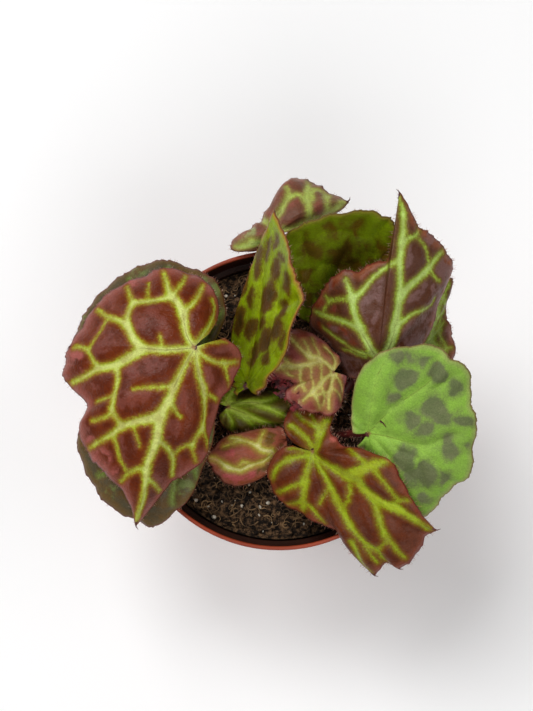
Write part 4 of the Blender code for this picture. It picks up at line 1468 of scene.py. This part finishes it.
FRONT_RIGHT_LEAF = LeafPlan(
    name="leaf_front_right", petiole=3.2, foot=(11, -6), on_rhizome=True, knees=((11.5, -11, 100),),
    attach=(13, -22, 110), arch=4, ribs=(5, 10, 14, 17, 19, 23, 26), tips=(5, 14, 17, 19),
    margin=(
        (155, 9, -1), (143, 13, -1), (127, 17, -2), (109, 18, -2), (85, 16, -1), (60, 16, 0), (49, 10, 2),
        (10, 11, 5), (1, 17, 9), (-6, 23, 12), (-10, 29, 13), (-18, 34, 11), (-26, 41, 8), (-31, 49, 3),
        (-33, 56, 1), (-37, 54, -2), (-45, 56, -6), (-53, 56, -11), (-56, 51, -10), (-63, 53, -14),
        (-67, 45, -11), (-70, 39, -9), (-73, 32, -6), (-82, 28, -5), (-99, 24, -6), (-123, 22, -7),
        (-145, 20, -6), (-165, 17, -4), (-185, 12, -2), (-196, 8, -1),
    ),
    finish=OCHRE_CELLS,
    veins=(
        (1.8, 2.6, 312, 455, 325, 463, 338, 470), (3.4, 5.2, 338, 470, 347, 475, 355, 475),
        (4.2, 2.6, 355, 475, 365, 468, 375, 464), (2.6, 1.6, 375, 464, 383, 462, 390, 460),
        (1.2, 0.8, 373, 466, 378, 475, 385, 483, 392, 492, 398, 500),
        (1.3, 0.7, 367, 464, 358, 457, 350, 450), (3.6, 2.8, 356, 478, 365, 489, 374, 499),
        (2.8, 3.2, 374, 499, 385, 505, 395, 507), (2.8, 1.6, 395, 507, 405, 513, 415, 520),
        (1.6, 0.9, 415, 520, 425, 527, 434, 531), (1.4, 0.9, 393, 504, 400, 500, 409, 500),
        (2.4, 2, 374, 498, 377, 510, 380, 522, 385, 535), (1.8, 0.8, 385, 535, 391, 542, 398, 551, 406, 558),
        (1.4, 2, 313, 457, 320, 468, 330, 485, 336, 499), (2.2, 2.2, 336, 499, 343, 512, 350, 525),
        (2, 1.2, 350, 525, 358, 535, 367, 545), (1.3, 0.7, 367, 545, 377, 550, 386, 561),
        (0.9, 0.7, 377, 549, 383, 545, 387, 538), (1.3, 0.9, 351, 478, 350, 487, 349, 497, 344, 509),
        (1.7, 1, 352, 541, 357, 552, 362, 562, 369, 573), (0.8, 0.5, 366, 547, 372, 556, 378, 562),
        (1.4, 1.8, 312, 456, 300, 457, 288, 460), (1.8, 1.1, 288, 460, 278, 467, 272, 479),
        (1.8, 2.4, 311, 457, 308, 468, 305, 481), (2.4, 1.8, 305, 481, 304, 495, 303, 509),
        (1.5, 0.9, 305, 482, 296, 485, 286, 489, 278, 492), (1.2, 0.7, 303, 501, 293, 503, 285, 505),
        (0.9, 0.6, 304, 502, 312, 508, 318, 515, 324, 522), (0.8, 0.5, 329, 488, 323, 497, 320, 503),
        (1.8, 3, 314, 454, 318, 445, 320, 435), (3, 1.8, 320, 435, 323, 426, 328, 420),
        (1.1, 0.6, 320, 431, 312, 425, 303, 420, 297, 414), (0.9, 0.5, 323, 430, 316, 423, 311, 415),
        (1.6, 2.2, 314, 449, 306, 438, 298, 431, 291, 426), (0.9, 0.5, 312, 453, 300, 450, 289, 448),
    ),
    hairs=1.5, blushed=((334, 438, 5), (342, 444, 4), (329, 430, 4), (385, 455, 4)),
)

LEAVES = (
    FRONT_LEFT_LEAF, LEFT_UNDER_LEAF, UPRIGHT_LEAF, BACK_LEAF, BACK_INNER_LEAF, BACK_RIGHT_LEAF,
    RIGHT_UNDER_LEAF, RIGHT_LEAF, CENTRE_LEAF, LEFT_INNER_LEAF, FRONT_SMALL_LEAF, FRONT_RIGHT_LEAF,
)


@dataclass
class Sheet:
    """The upper face of a blade: rays from the petiole's end to the margin, arched, swollen and waved.

    columns counts along the margin, and out runs from 0 at the petiole to 1 at the margin.
    """

    plan: LeafPlan
    mesh_size: float = 0.72 * MM
    tooth: float = 0.7 * MM
    wave: float = 0.8 * MM
    waves_round: int = 11
    crown: float = 1.1 * MM
    wide_panel: float = 30
    small_tooth: float = 0.7 * MM
    tooth_press: int = 40

    def __post_init__(self) -> None:
        """Work out the rays and what changes along the margin."""
        named = self.margin_points()
        around = np.linalg.norm(np.diff(named, axis=0), axis=1).sum()
        self.steps = 2 * max(2, round(around / (len(named) - 1) / self.mesh_size / 2))
        self.rays = smooth_line(named, self.plan.tips, self.steps)
        self.columns = len(self.rays) - 1
        self.reach = np.linalg.norm(self.rays, axis=1)
        self.rings = max(10, round(self.reach.mean() / self.mesh_size))
        self.up = self.normal()
        places = np.arange(self.columns + 1) / self.steps
        self.bearings = np.interp(places, np.arange(len(named)), [point[0] for point in self.plan.margin])
        self.swell = np.array([self.between_ribs(bearing) for bearing in self.bearings])
        self.square = self.outward()
        self.steep = np.clip((self.square * self.rays).sum(axis=1) / self.reach, 0, 1) ** 2
        self.scallop = self.tooth * (1 - np.abs(2 * (places % 1) - 1))
        self.teeth = self.small_teeth()
        self.attach = np.array(self.plan.attach) * MM

    def margin_points(self) -> Rows:
        """Work out the margin's named points.

        Returns:
            The points in metres, measured from the petiole's end.
        """
        turns = [math.radians(bearing) for bearing, _, _ in self.plan.margin]
        points = [
            (reach * math.cos(turn), reach * math.sin(turn), rise)
            for turn, (_, reach, rise) in zip(turns, self.plan.margin)
        ]
        return np.array(points) * MM

    def normal(self) -> Rows:
        """Return the blade's mean upward normal."""
        total = np.cross(self.rays[1:], self.rays[:-1]).sum(axis=0)
        return total / np.linalg.norm(total) * math.copysign(1, total[2])

    def between_ribs(self, bearing: float) -> float:
        """Find how far a bearing is from the main veins beside it.

        Args:
            bearing: The bearing in degrees.

        Returns:
            0 at a main vein, and up to 1 midway in the panel between two.
        """
        ends = [self.plan.margin[rib][0] for rib in self.plan.ribs]
        for a, b in zip(ends, ends[1:]):
            t = (bearing - a) / (b - a)
            if 0 <= t <= 1:
                return 4 * t * (1 - t) * min(1, abs(b - a) / self.wide_panel)
        return 0

    def outward(self) -> Rows:
        """Find which way leads square out across the margin.

        Returns:
            The direction at each column.
        """
        ends = np.arange(self.columns + 1)
        after, before = np.minimum(ends + 2, self.columns), np.maximum(ends - 2, 0)
        across = np.cross(self.rays[after] - self.rays[before], self.up)
        across /= np.linalg.norm(across, axis=1)[:, None]
        return across * np.sign((across * self.rays).sum(axis=1))[:, None]

    def small_teeth(self) -> Rows:
        """Cut the fine, uneven saw teeth along the margin.

        Returns:
            How far each column stands out, in metres.
        """
        dice = random.Random(self.plan.name)
        teeth = np.zeros(self.columns + 1)
        column = 4
        while column < self.columns - 6:
            length, size = dice.choice((2, 3, 3, 4)), dice.uniform(0.2, 1) ** 1.5
            for i in range(length):
                teeth[column + i] = self.small_tooth * self.plan.toothed * size * (i + 1) / length
            column += length + dice.choice((0, 0, 1, 2))
        return teeth

    def points(self, column: Rows, out: Rows) -> Rows:
        """Find points of the smooth blade.

        Args:
            column: The column of each, a whole number.
            out: How far out each lies, from 0 to 1.

        Returns:
            The points in metres, one a row.
        """
        lift = self.plan.arch * MM * 4 * out * (1 - out) * self.reach[column] / self.reach.mean()
        lift += self.crown * self.swell[column] * np.sin(np.pi * out) * out
        lift += self.wave * np.sin(np.radians(self.bearings[column]) * self.waves_round) * out**3
        push = self.scallop[column] * out**4 + self.teeth[column] * out**self.tooth_press
        push = self.steep[column] * push
        flat = self.attach + self.rays[column] * out[:, None]
        return flat + self.square[column] * push[:, None] + self.up * lift[:, None]


@dataclass
class Course:
    """A vein as it lies on the blade: points in metres, with the half width at each."""

    points: Rows
    half: Rows
    main: bool = False


@dataclass
class Leaf:
    """One leaf: its blade with veins and markings, its petiole and its hairs."""

    plan: LeafPlan
    view: PhotoView
    blade: float = 0.5 * MM
    petiole_start: float = 93 * MM
    petiole_taper: float = 0.25
    socket_floor: float = 85 * MM
    hole_floor: float = 79 * MM
    gap: float = 0.3 * MM
    halo: float = 0.2 * MM
    fillet: float = 0.5 * MM
    dome: float = 0.95 * MM
    dome_reach: float = 3.8 * MM
    channel: float = 0.3 * MM
    crumple: float = 0.42 * MM
    hook: float = 1.6 * MM
    hook_radius: float = 0.55 * MM
    hair_radius: float = 0.065 * MM
    margin_hair_share: float = 0.62
    petiole_hair_count: int = 130
    vein_steps: int = 8
    main_reach: float = 9
    main_width: float = 1.5
    groove_half: float = 0.28 * MM
    # The pixel step that sets which side of each cell gets the painted highlight.
    painted_sheen_step: Spot = (8, 3)
    blend: float = 0.9
    drift: float = 4.5
    drift_size: float = 11
    pixel_size: float = 0.38 * MM
    batch: int = 4000

    def __post_init__(self) -> None:
        """Lay out the blade and start the random draws of the hairs."""
        self.sheet = Sheet(self.plan)
        self.dice = random.Random(self.plan.name + "hair")

    def build(self, petiole_skin: StemFinish, hair: SpeckFinish, below: UndersideFinish) -> None:
        """Build the leaf's pieces.

        Args:
            petiole_skin: The petiole's finish.
            hair: The finish of the hairs.
            below: The finish of the blade's lower face.
        """
        name = self.plan.name
        slot = f"{name}_skin"
        skins = [self.plan.finish.material(slot), below.material(f"{name}_below")]
        piece = add_piece(f"{name}_blade", self.blade_mesh(), skins, replaces=[name])
        thicken = piece.modifiers.new("thickness", "SOLIDIFY")
        thicken.thickness = self.blade
        thicken.offset = 0
        thicken.material_offset = 1
        stalk = strands_mesh(f"{name}_petiole", [self.petiole(), *self.hooks()], sides=6)
        add_piece(f"{name}_petiole", stalk, [petiole_skin.material(f"{name}_stalk")])
        fuzz = strands_mesh(f"{name}_hairs", self.margin_hairs() + self.petiole_hairs())
        add_piece(f"{name}_hairs", fuzz, [hair.material(f"{name}_hair")])

    def blade_mesh(self) -> bpy.types.Mesh:
        """Build the blade's upper face, with a value for each of its fields at each point.

        Returns:
            The mesh.
        """
        sheet = self.sheet
        bm = bmesh.new()
        bmesh.ops.create_grid(bm, x_segments=sheet.columns, y_segments=sheet.rings, size=0.5)
        flat = np.array([vert.co for vert in bm.verts])
        column = np.rint((flat[:, 0] + 0.5) * sheet.columns).astype(int)
        out = np.rint((flat[:, 1] + 0.5) * sheet.rings) / sheet.rings
        points = sheet.points(column, out)
        pixels = self.view.pixels(points)
        tree = pixel_tree(pixels)
        ribs, groove = self.vein_fields(points, tree)
        rim = (1 - out) * sheet.reach[column]
        points += sheet.up * self.relief(points, ribs, rim, out)[:, None]
        fields = {
            "edge": self.marking_edge(ribs, pixels) / MM,
            "ribs": ribs / MM,
            "rim": rim / MM,
            "heart": np.linalg.norm(points - sheet.attach, axis=1) / MM,
            "tint": self.share_of(self.plan.tinted, pixels),
            "blush": self.share_of(self.plan.blushed, pixels),
            # Where the painted highlight lies on each cell.
            "painted_sheen": self.painted_sheen(ribs, pixels, tree),
            "groove": groove,
        }
        layers = {name: bm.verts.layers.float.new(name) for name in fields}
        for i, vert in enumerate(bm.verts):
            vert.co = points[i]
            for name, layer in layers.items():
                vert[layer] = fields[name][i]
        bmesh.ops.remove_doubles(bm, verts=bm.verts, dist=MERGE)
        if sum(face.normal.dot(Vector(sheet.up)) for face in bm.faces) < 0:
            bmesh.ops.reverse_faces(bm, faces=bm.faces)
        return finish_mesh(f"{self.plan.name}_blade", bm)

    def vein_fields(self, points: Rows, tree: kdtree.KDTree) -> tuple[Rows, Rows]:
        """Measure the distance to the veins' edges, and mark main veins' groove for painted shade.

        Args:
            points: The blade's points in metres.
            tree: The same points by their place in the photograph.

        Returns:
            The distance outside the nearest vein's edge in metres, negative inside it, and the groove.
        """
        courses = self.drawn_courses(points, tree)
        if self.plan.ruled:
            courses += self.ruled_courses()
        nearness = np.full(len(points), 1e-30)
        groove = np.zeros(len(points))
        for course in courses:
            for start in range(0, len(points), self.batch):
                part = slice(start, start + self.batch)
                away = np.linalg.norm(points[part, None] - course.points[None], axis=2)
                nearness[part] += np.exp(-(away - course.half).min(axis=1) / self.fillet)
                if course.main:
                    line = np.clip(1 - away.min(axis=1) / self.groove_half, 0, 1) * 0.7
                    groove[part] = np.maximum(groove[part], line)
        return -np.log(nearness) * self.fillet, groove

    def drawn_courses(self, points: Rows, tree: kdtree.KDTree) -> list[Course]:
        """Lay the veins of the photograph on the blade.

        Args:
            points: The blade's points in metres.
            tree: The same points by their place in the photograph.

        Returns:
            The courses of the veins.
        """
        heart = self.view.pixels(self.sheet.attach[None])[0]
        courses = []
        for wide, narrow, *route in self.plan.veins:
            line = smooth_line(np.array(route, float).reshape(-1, 2), (), self.vein_steps)
            laid = []
            for x, y in line:
                near = tree.find_n((x, y, 0), 4)
                weights = np.array([1 / (distance + 0.05) for _, _, distance in near])
                laid.append(np.average(points[[index for _, index, _ in near]], axis=0, weights=weights))
            half = np.linspace(wide, narrow, len(laid)) / 2 * MM + self.halo
            main = math.dist(route[:2], heart) < self.main_reach and wide > self.main_width
            courses.append(Course(np.array(laid), half, main))
        return courses

    def ruled_courses(self) -> list[Course]:
        """Lay main veins along their ribs, with zigzag links between them.

        Returns:
            The courses of the veins.
        """
        sheet = self.sheet
        dice = random.Random(self.plan.name + "ribs")
        courses = []
        ends = [rib * sheet.steps for rib in self.plan.ribs]
        run = np.linspace(0.02, 0.93, 60)
        for end in ends:
            sway = (np.sin(run * 9 + dice.uniform(0, 6)) * 0.012 * sheet.columns * run).astype(int)
            column = np.clip(end + sway, 0, sheet.columns)
            courses.append(Course(sheet.points(column, run), np.linspace(1.3, 0.45, 60) * MM))
        for a, b in zip(ends, ends[1:]):
            for level in (0.42, 0.7):
                level += dice.uniform(-0.05, 0.05)
                share = np.linspace(0, 1, 40)
                column = np.rint(a + (b - a) * share).astype(int)
                out = level + 0.09 * (1 - np.abs(2 * share - 1)) + 0.01 * np.sin(share * 20)
                courses.append(Course(sheet.points(column, out), np.full(40, 0.5) * MM))
            middle = sheet.points(np.full(30, (a + b) // 2), np.linspace(0.78, 0.95, 30))
            courses.append(Course(middle, np.linspace(0.5, 0.25, 30) * MM))
        return courses

    def marking_edge(self, ribs: Rows, pixels: Rows) -> Rows:
        """Measure the distance into the dark cells or blotches.

        Blotches lose their roundness by a drift that grows with the softness of their edge.

        Args:
            ribs: The distance outside the veins in metres.
            pixels: The points' pixels.

        Returns:
            The distance in metres, negative outside them.
        """
        if self.plan.finish.marking is Marking.VEINED:
            return ribs
        nearness = np.full(len(pixels), 1e-30)
        shifts = [noise.noise_vector(Vector((x, y, 0)) / self.drift_size) for x, y in pixels]
        moved = pixels + np.array(shifts)[:, :2] * self.drift * self.plan.finish.softness
        for x, y, radius in self.plan.blotches:
            away = np.hypot(moved[:, 0] - x, moved[:, 1] - y)
            nearness += np.exp((radius - away) / self.blend)
        return np.log(nearness) * self.blend * self.pixel_size

    def painted_sheen(self, ribs: Rows, pixels: Rows, tree: kdtree.KDTree) -> Rows:
        """Lay a painted highlight on the side of each cell that a step leads away from.

        Args:
            ribs: The distance outside the veins in metres.
            pixels: The points' pixels.
            tree: The same points by their place in the photograph.

        Returns:
            How much painted highlight each point gets, from 0 to 1.
        """
        step = self.painted_sheen_step
        beside = [tree.find((x + step[0], y + step[1], 0))[1] for x, y in pixels]
        deep = np.clip((ribs[beside] / MM - 0.9) / 1.6, 0, 1)
        return deep * np.clip((ribs / MM - 0.1) / 1.1, 0, 1)

    def share_of(self, circles: Sequence[Place], pixels: Rows) -> Rows:
        """Find how far points lie in some patches.

        Args:
            circles: The patches.
            pixels: The points' pixels.

        Returns:
            0 outside the patches, and up to 1 inside.
        """
        share = np.zeros(len(pixels))
        for x, y, radius in circles:
            away = np.hypot(pixels[:, 0] - x, pixels[:, 1] - y) / radius
            share = np.maximum(share, np.clip(1.25 - away, 0, 1))
        return share * share * (3 - 2 * share)

    def relief(self, points: Rows, ribs: Rows, rim: Rows, out: Rows) -> Rows:
        """Work out the relief: domed cells, sunken veins and a slight crumple.

        Args:
            points: The blade's points in metres.
            ribs: Their distance outside the veins.
            rim: Their distance from the margin.
            out: How far out each lies, from 0 to 1.

        Returns:
            The height to add to each, in metres.
        """
        into = np.clip(ribs / self.dome_reach, 0, 1)
        dome = self.dome * into * (2 - into)
        sunk = -self.channel * np.clip(-ribs / MM, 0, 1)
        crumple = np.array([noise.fractal(Vector(point) * 140, 1.0, 2.6, 3) for point in points])
        held = np.clip(out * 5, 0, 1) * np.clip(rim / (1.5 * MM), 0.15, 1)
        return (dome + sunk + crumple * self.crumple) * held

    def route(self) -> Rows:
        """Lay the petiole's line, from its foot to the blade.

        Returns:
            Its points in metres, one a row.
        """
        plan = self.plan
        floor = self.socket_floor if plan.on_rhizome else self.hole_floor
        foot = np.array((plan.foot[0] * MM, plan.foot[1] * MM, floor + self.gap))
        start = np.array((foot[0], foot[1], self.petiole_start))
        bends = np.array([start, *(np.array(plan.knees) * MM), self.sheet.attach])
        rising = np.array((0, 0, np.linalg.norm(bends[1] - start)))
        steps = 8
        first = [hermite(start, rising, bends[1], (bends[2] - start) / 2, i / steps) for i in range(steps)]
        return np.array([foot, *first, *smooth_line(bends, (), steps)[steps:]])

    def petiole(self) -> Strand:
        """Return the petiole as a tapering strand."""
        points = [Vector(point) for point in self.route()]
        return Strand(points, self.plan.petiole / 2 * MM, taper=self.petiole_taper)

    def hair(self, root: Vector, out: Vector, length: float) -> Strand:
        """Bend one hair that stands out from its root.

        Args:
            root: Where it grows.
            out: Which way it stands out.
            length: Its length in metres.

        Returns:
            The hair.
        """
        stray = Vector([self.dice.gauss(0, 0.28) for _ in range(3)])
        tip = root + (out + stray).normalized() * length
        droop = Vector((0, 0, self.dice.uniform(-0.2, 0.1) * length))
        return Strand([root, root.lerp(tip, 0.55), tip + droop], self.hair_radius, taper=0.7)

    def margin_hairs(self) -> list[Strand]:
        """Grow hairs along the margin, at the tips of its teeth and between them.

        Returns:
            The hairs.
        """
        sheet = self.sheet
        count = int(sheet.columns * self.margin_hair_share * self.plan.hairs)
        columns = np.array([self.dice.randint(6, sheet.columns - 6) for _ in range(count)])
        roots = sheet.points(columns, np.full(count, 0.995))
        hairs = []
        for column, root in zip(columns, roots):
            length = self.dice.uniform(0.5, 1.6) * MM * min(1.3, self.plan.hairs)
            hairs.append(self.hair(Vector(root), Vector(sheet.square[column]), length))
        return hairs

    def hooks(self) -> list[Strand]:
        """Shape the slim hooked end of each pointed lobe.

        Returns:
            The hooks.
        """
        sheet = self.sheet
        hooks = []
        for column in (tip * sheet.steps for tip in self.plan.tips):
            end = Vector(sheet.points(np.array([column]), np.array([0.985]))[0])
            out = Vector(sheet.rays[column]).normalized()
            side = out.cross(Vector(sheet.up)) * self.hook
            bend, point = end + out * self.hook * 0.8 - side * 0.25, end + out * self.hook * 1.3 - side
            hooks.append(Strand([end - out * self.hook, end, bend, point], self.hook_radius, taper=0.9))
        return hooks

    def petiole_hairs(self) -> list[Strand]:
        """Grow the hairs that stand out all round the petiole.

        Returns:
            The hairs.
        """
        line = self.route()
        hairs = []
        for _ in range(self.petiole_hair_count):
            i = self.dice.randint(2, len(line) - 2)
            along = Vector(line[i + 1] - line[i]).normalized()
            root = Vector(line[i]).lerp(Vector(line[i + 1]), self.dice.random())
            side = along.orthogonal().normalized()
            side.rotate(Matrix.Rotation(self.dice.uniform(0, math.tau), 3, along))
            surface = root + side * self.plan.petiole / 2 * MM * 0.85
            hairs.append(self.hair(surface, side, self.dice.uniform(0.8, 1.8) * MM))
        return hairs


@dataclass
class DriedBits:
    """The dark, shrivelled edge of the torn middle leaf, and the fleck on the pale leaf."""

    view: PhotoView
    shrivelled: tuple[Spot, ...] = (
        (266, 380), (270, 376), (275, 374), (279, 378), (284, 381), (287, 386), (290, 391), (294, 395),
        (299, 392), (292, 400), (296, 404), (303, 396), (281, 384), (276, 381),
    )
    flaps: tuple[tuple[float, float, float, float], ...] = (
        (279, 373, 7, 205), (283, 376, 6, 240), (289, 391, 6, 150), (294, 398, 7, 110), (300, 403, 5, 215),
        (272, 377, 4, 190), (297, 391, 4, 60), (287, 395, 5, 175),
    )
    curls: int = 3
    flap_thickness: float = 0.3 * MM
    crumple: float = 0.9 * MM
    height: float = 117.5 * MM
    fleck: tuple[Place, ...] = ((380, 421, 125.3), (383, 423, 125.25), (386, 427, 125.5))
    dice: random.Random = field(default_factory=lambda: random.Random(21))

    def build(self, finish: SpeckFinish) -> None:
        """Build the curled strands, the flaps and the fleck.

        Args:
            finish: Their finish.
        """
        starts = [self.view.on_level(spot, self.height) for spot in self.shrivelled]
        strands = [self.curl(start) for start in starts for _ in range(self.curls)]
        mesh = strands_mesh("shrivelled_edge", strands, sides=1)
        add_piece("shrivelled_edge", mesh, [finish.material("shrivelled")])
        bm = bmesh.new()
        for x, y, reach, turn in self.flaps:
            self.add_flap(bm, self.view.on_level((x, y), self.height), reach * MM, math.radians(turn))
        mesh = finish_mesh("shrivelled_flaps", bm)
        piece = add_piece("shrivelled_flaps", mesh, [finish.material("shrunk_skin")])
        thicken = piece.modifiers.new("thickness", "SOLIDIFY")
        thicken.thickness = self.flap_thickness
        points = [self.view.on_level((x, y), z * MM) for x, y, z in self.fleck]
        mesh = strands_mesh("fleck", [Strand(points, 0.4 * MM, taper=0.7)], sides=1)
        add_piece("fleck", mesh, [finish.material("fleck_brown")])

    def add_flap(self, bm: bmesh.types.BMesh, root: Vector, reach: float, turn: float) -> None:
        """Add one shrunken flap of skin that reaches out from its root, pointed and crumpled.

        Args:
            bm: The bmesh to add it to.
            root: The middle of its wide end.
            reach: Its length in metres.
            turn: The way that it points, in radians round the vertical.
        """
        made = bmesh.ops.create_grid(bm, x_segments=10, y_segments=8, size=0.5)["verts"]
        for vert in made:
            along, across = vert.co.x + 0.5, vert.co.y
            ragged = 1 + 0.35 * noise.noise(Vector((along * 6, round(across), reach * 9000)))
            shape = Vector((along * reach, across * reach * 0.7 * (1 - along**2) * ragged, 0))
            shape.rotate(Matrix.Rotation(turn, 3, "Z"))
            place = root + shape + Vector((0, 0, along * 0.3 * reach - 0.4 * MM))
            vert.co = place + noise.noise_vector(place * 900) * self.crumple * min(1, 4 * along)

    def curl(self, start: Vector) -> Strand:
        """Curl one short strand.

        Args:
            start: Where it begins.

        Returns:
            The strand.
        """
        heading, tilt = self.dice.uniform(0, math.tau), self.dice.uniform(-0.5, 0.5)
        points = [start + Vector((0, 0, self.dice.uniform(-1.5, 0.5) * MM))]
        for _ in range(5):
            step = Vector((math.cos(heading), math.sin(heading), tilt)) * self.dice.uniform(0.5, 1.0) * MM
            points.append(points[-1] + step)
            heading += self.dice.uniform(0.1, 0.9)
            tilt += self.dice.uniform(-0.5, 0.4)
        return Strand(points, self.dice.uniform(0.3, 0.6) * MM, taper=0.8)


# Studio


@dataclass(frozen=True)
class Studio:
    """A plain pale floor, and soft lights as (name, place, side in metres, power in watts)."""

    floor_size: float = 6.0
    floor_white: float = 0.94
    sky: float = 0.16
    lights: tuple[tuple[str, Place, float, float], ...] = (
        ("window", (-0.95, 0.45, 0.8), 0.7, 6),
        ("overhead", (-0.35, 0.55, 1.25), 0.5, 8.5),
        ("fill", (0.9, 0, 0.9), 0.8, 3),
        ("front", (0.1, -0.8, 1), 0.7, 5.5),
    )

    def build(self) -> None:
        """Lay the floor and hang the lights."""
        bm = bmesh.new()
        bmesh.ops.create_grid(bm, x_segments=1, y_segments=1, size=self.floor_size / 2)
        floor = bpy.data.objects.new("floor", finish_mesh("floor", bm))
        show(floor)
        made, _, shader = new_material("studio_floor")
        shader.inputs["Base Color"].default_value = (*[self.floor_white] * 3, 1)
        shader.inputs["Roughness"].default_value = 0.9
        floor.data.materials.append(made)
        world = bpy.data.worlds.new("studio")
        world.use_nodes = True
        world.node_tree.nodes["Background"].inputs["Color"].default_value = (1, 1, 1, 1)
        world.node_tree.nodes["Background"].inputs["Strength"].default_value = self.sky
        bpy.context.scene.world = world
        bpy.context.scene.view_settings.view_transform = "Standard"
        for name, place, size, power in self.lights:
            self.light(name, place, size, power)

    def light(self, name: str, place: Place, size: float, power: float) -> None:
        """Hang one soft square light that faces the plant.

        Args:
            name: Its name.
            place: Where it hangs.
            size: Its side in metres.
            power: Its power in watts.
        """
        data = bpy.data.lights.new(name, "AREA")
        data.size = size
        data.energy = power
        lamp = bpy.data.objects.new(name, data)
        lamp.location = place
        lamp.rotation_euler = (Vector((0, 0, 0.1)) - Vector(place)).to_track_quat("-Z", "Y").to_euler()
        show(lamp)


def write_sizes() -> None:
    """Bring the view layer up to date."""
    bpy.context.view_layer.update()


def main() -> None:
    """Build the camera, the studio and every piece of the plant, in order."""
    logging.basicConfig(level=logging.INFO, format="%(name)s: %(message)s")
    noise.seed_set(NOISE_SEED)
    view = PhotoView()
    view.make_camera()
    Studio().build()
    pot = Pot()
    # The inside gets a darkened copy of the plastic as painted shade, with soil dust low down.
    pot.build(PlasticFinish(), PlasticFinish((44, 11, 6), (36, 9, 5), dirty=0.85))
    Soil(pot, view).build(PeatFinish())
    bark = StemFinish(scale=180, depth=0.5, roughness=0.7)
    Rhizome().build(bark, SpeckFinish((120, 70, 44), (84, 40, 28)))
    hair = SpeckFinish((150, 78, 66), (196, 160, 136), scale=400, roughness=0.45, bumpy=False)
    for plan in LEAVES:
        Leaf(plan, view).build(StemFinish(), hair, UndersideFinish())
    DriedBits(view).build(SpeckFinish((122, 22, 26), (52, 8, 12), roughness=0.7))
    write_sizes()


if __name__ == "__main__":
    main()
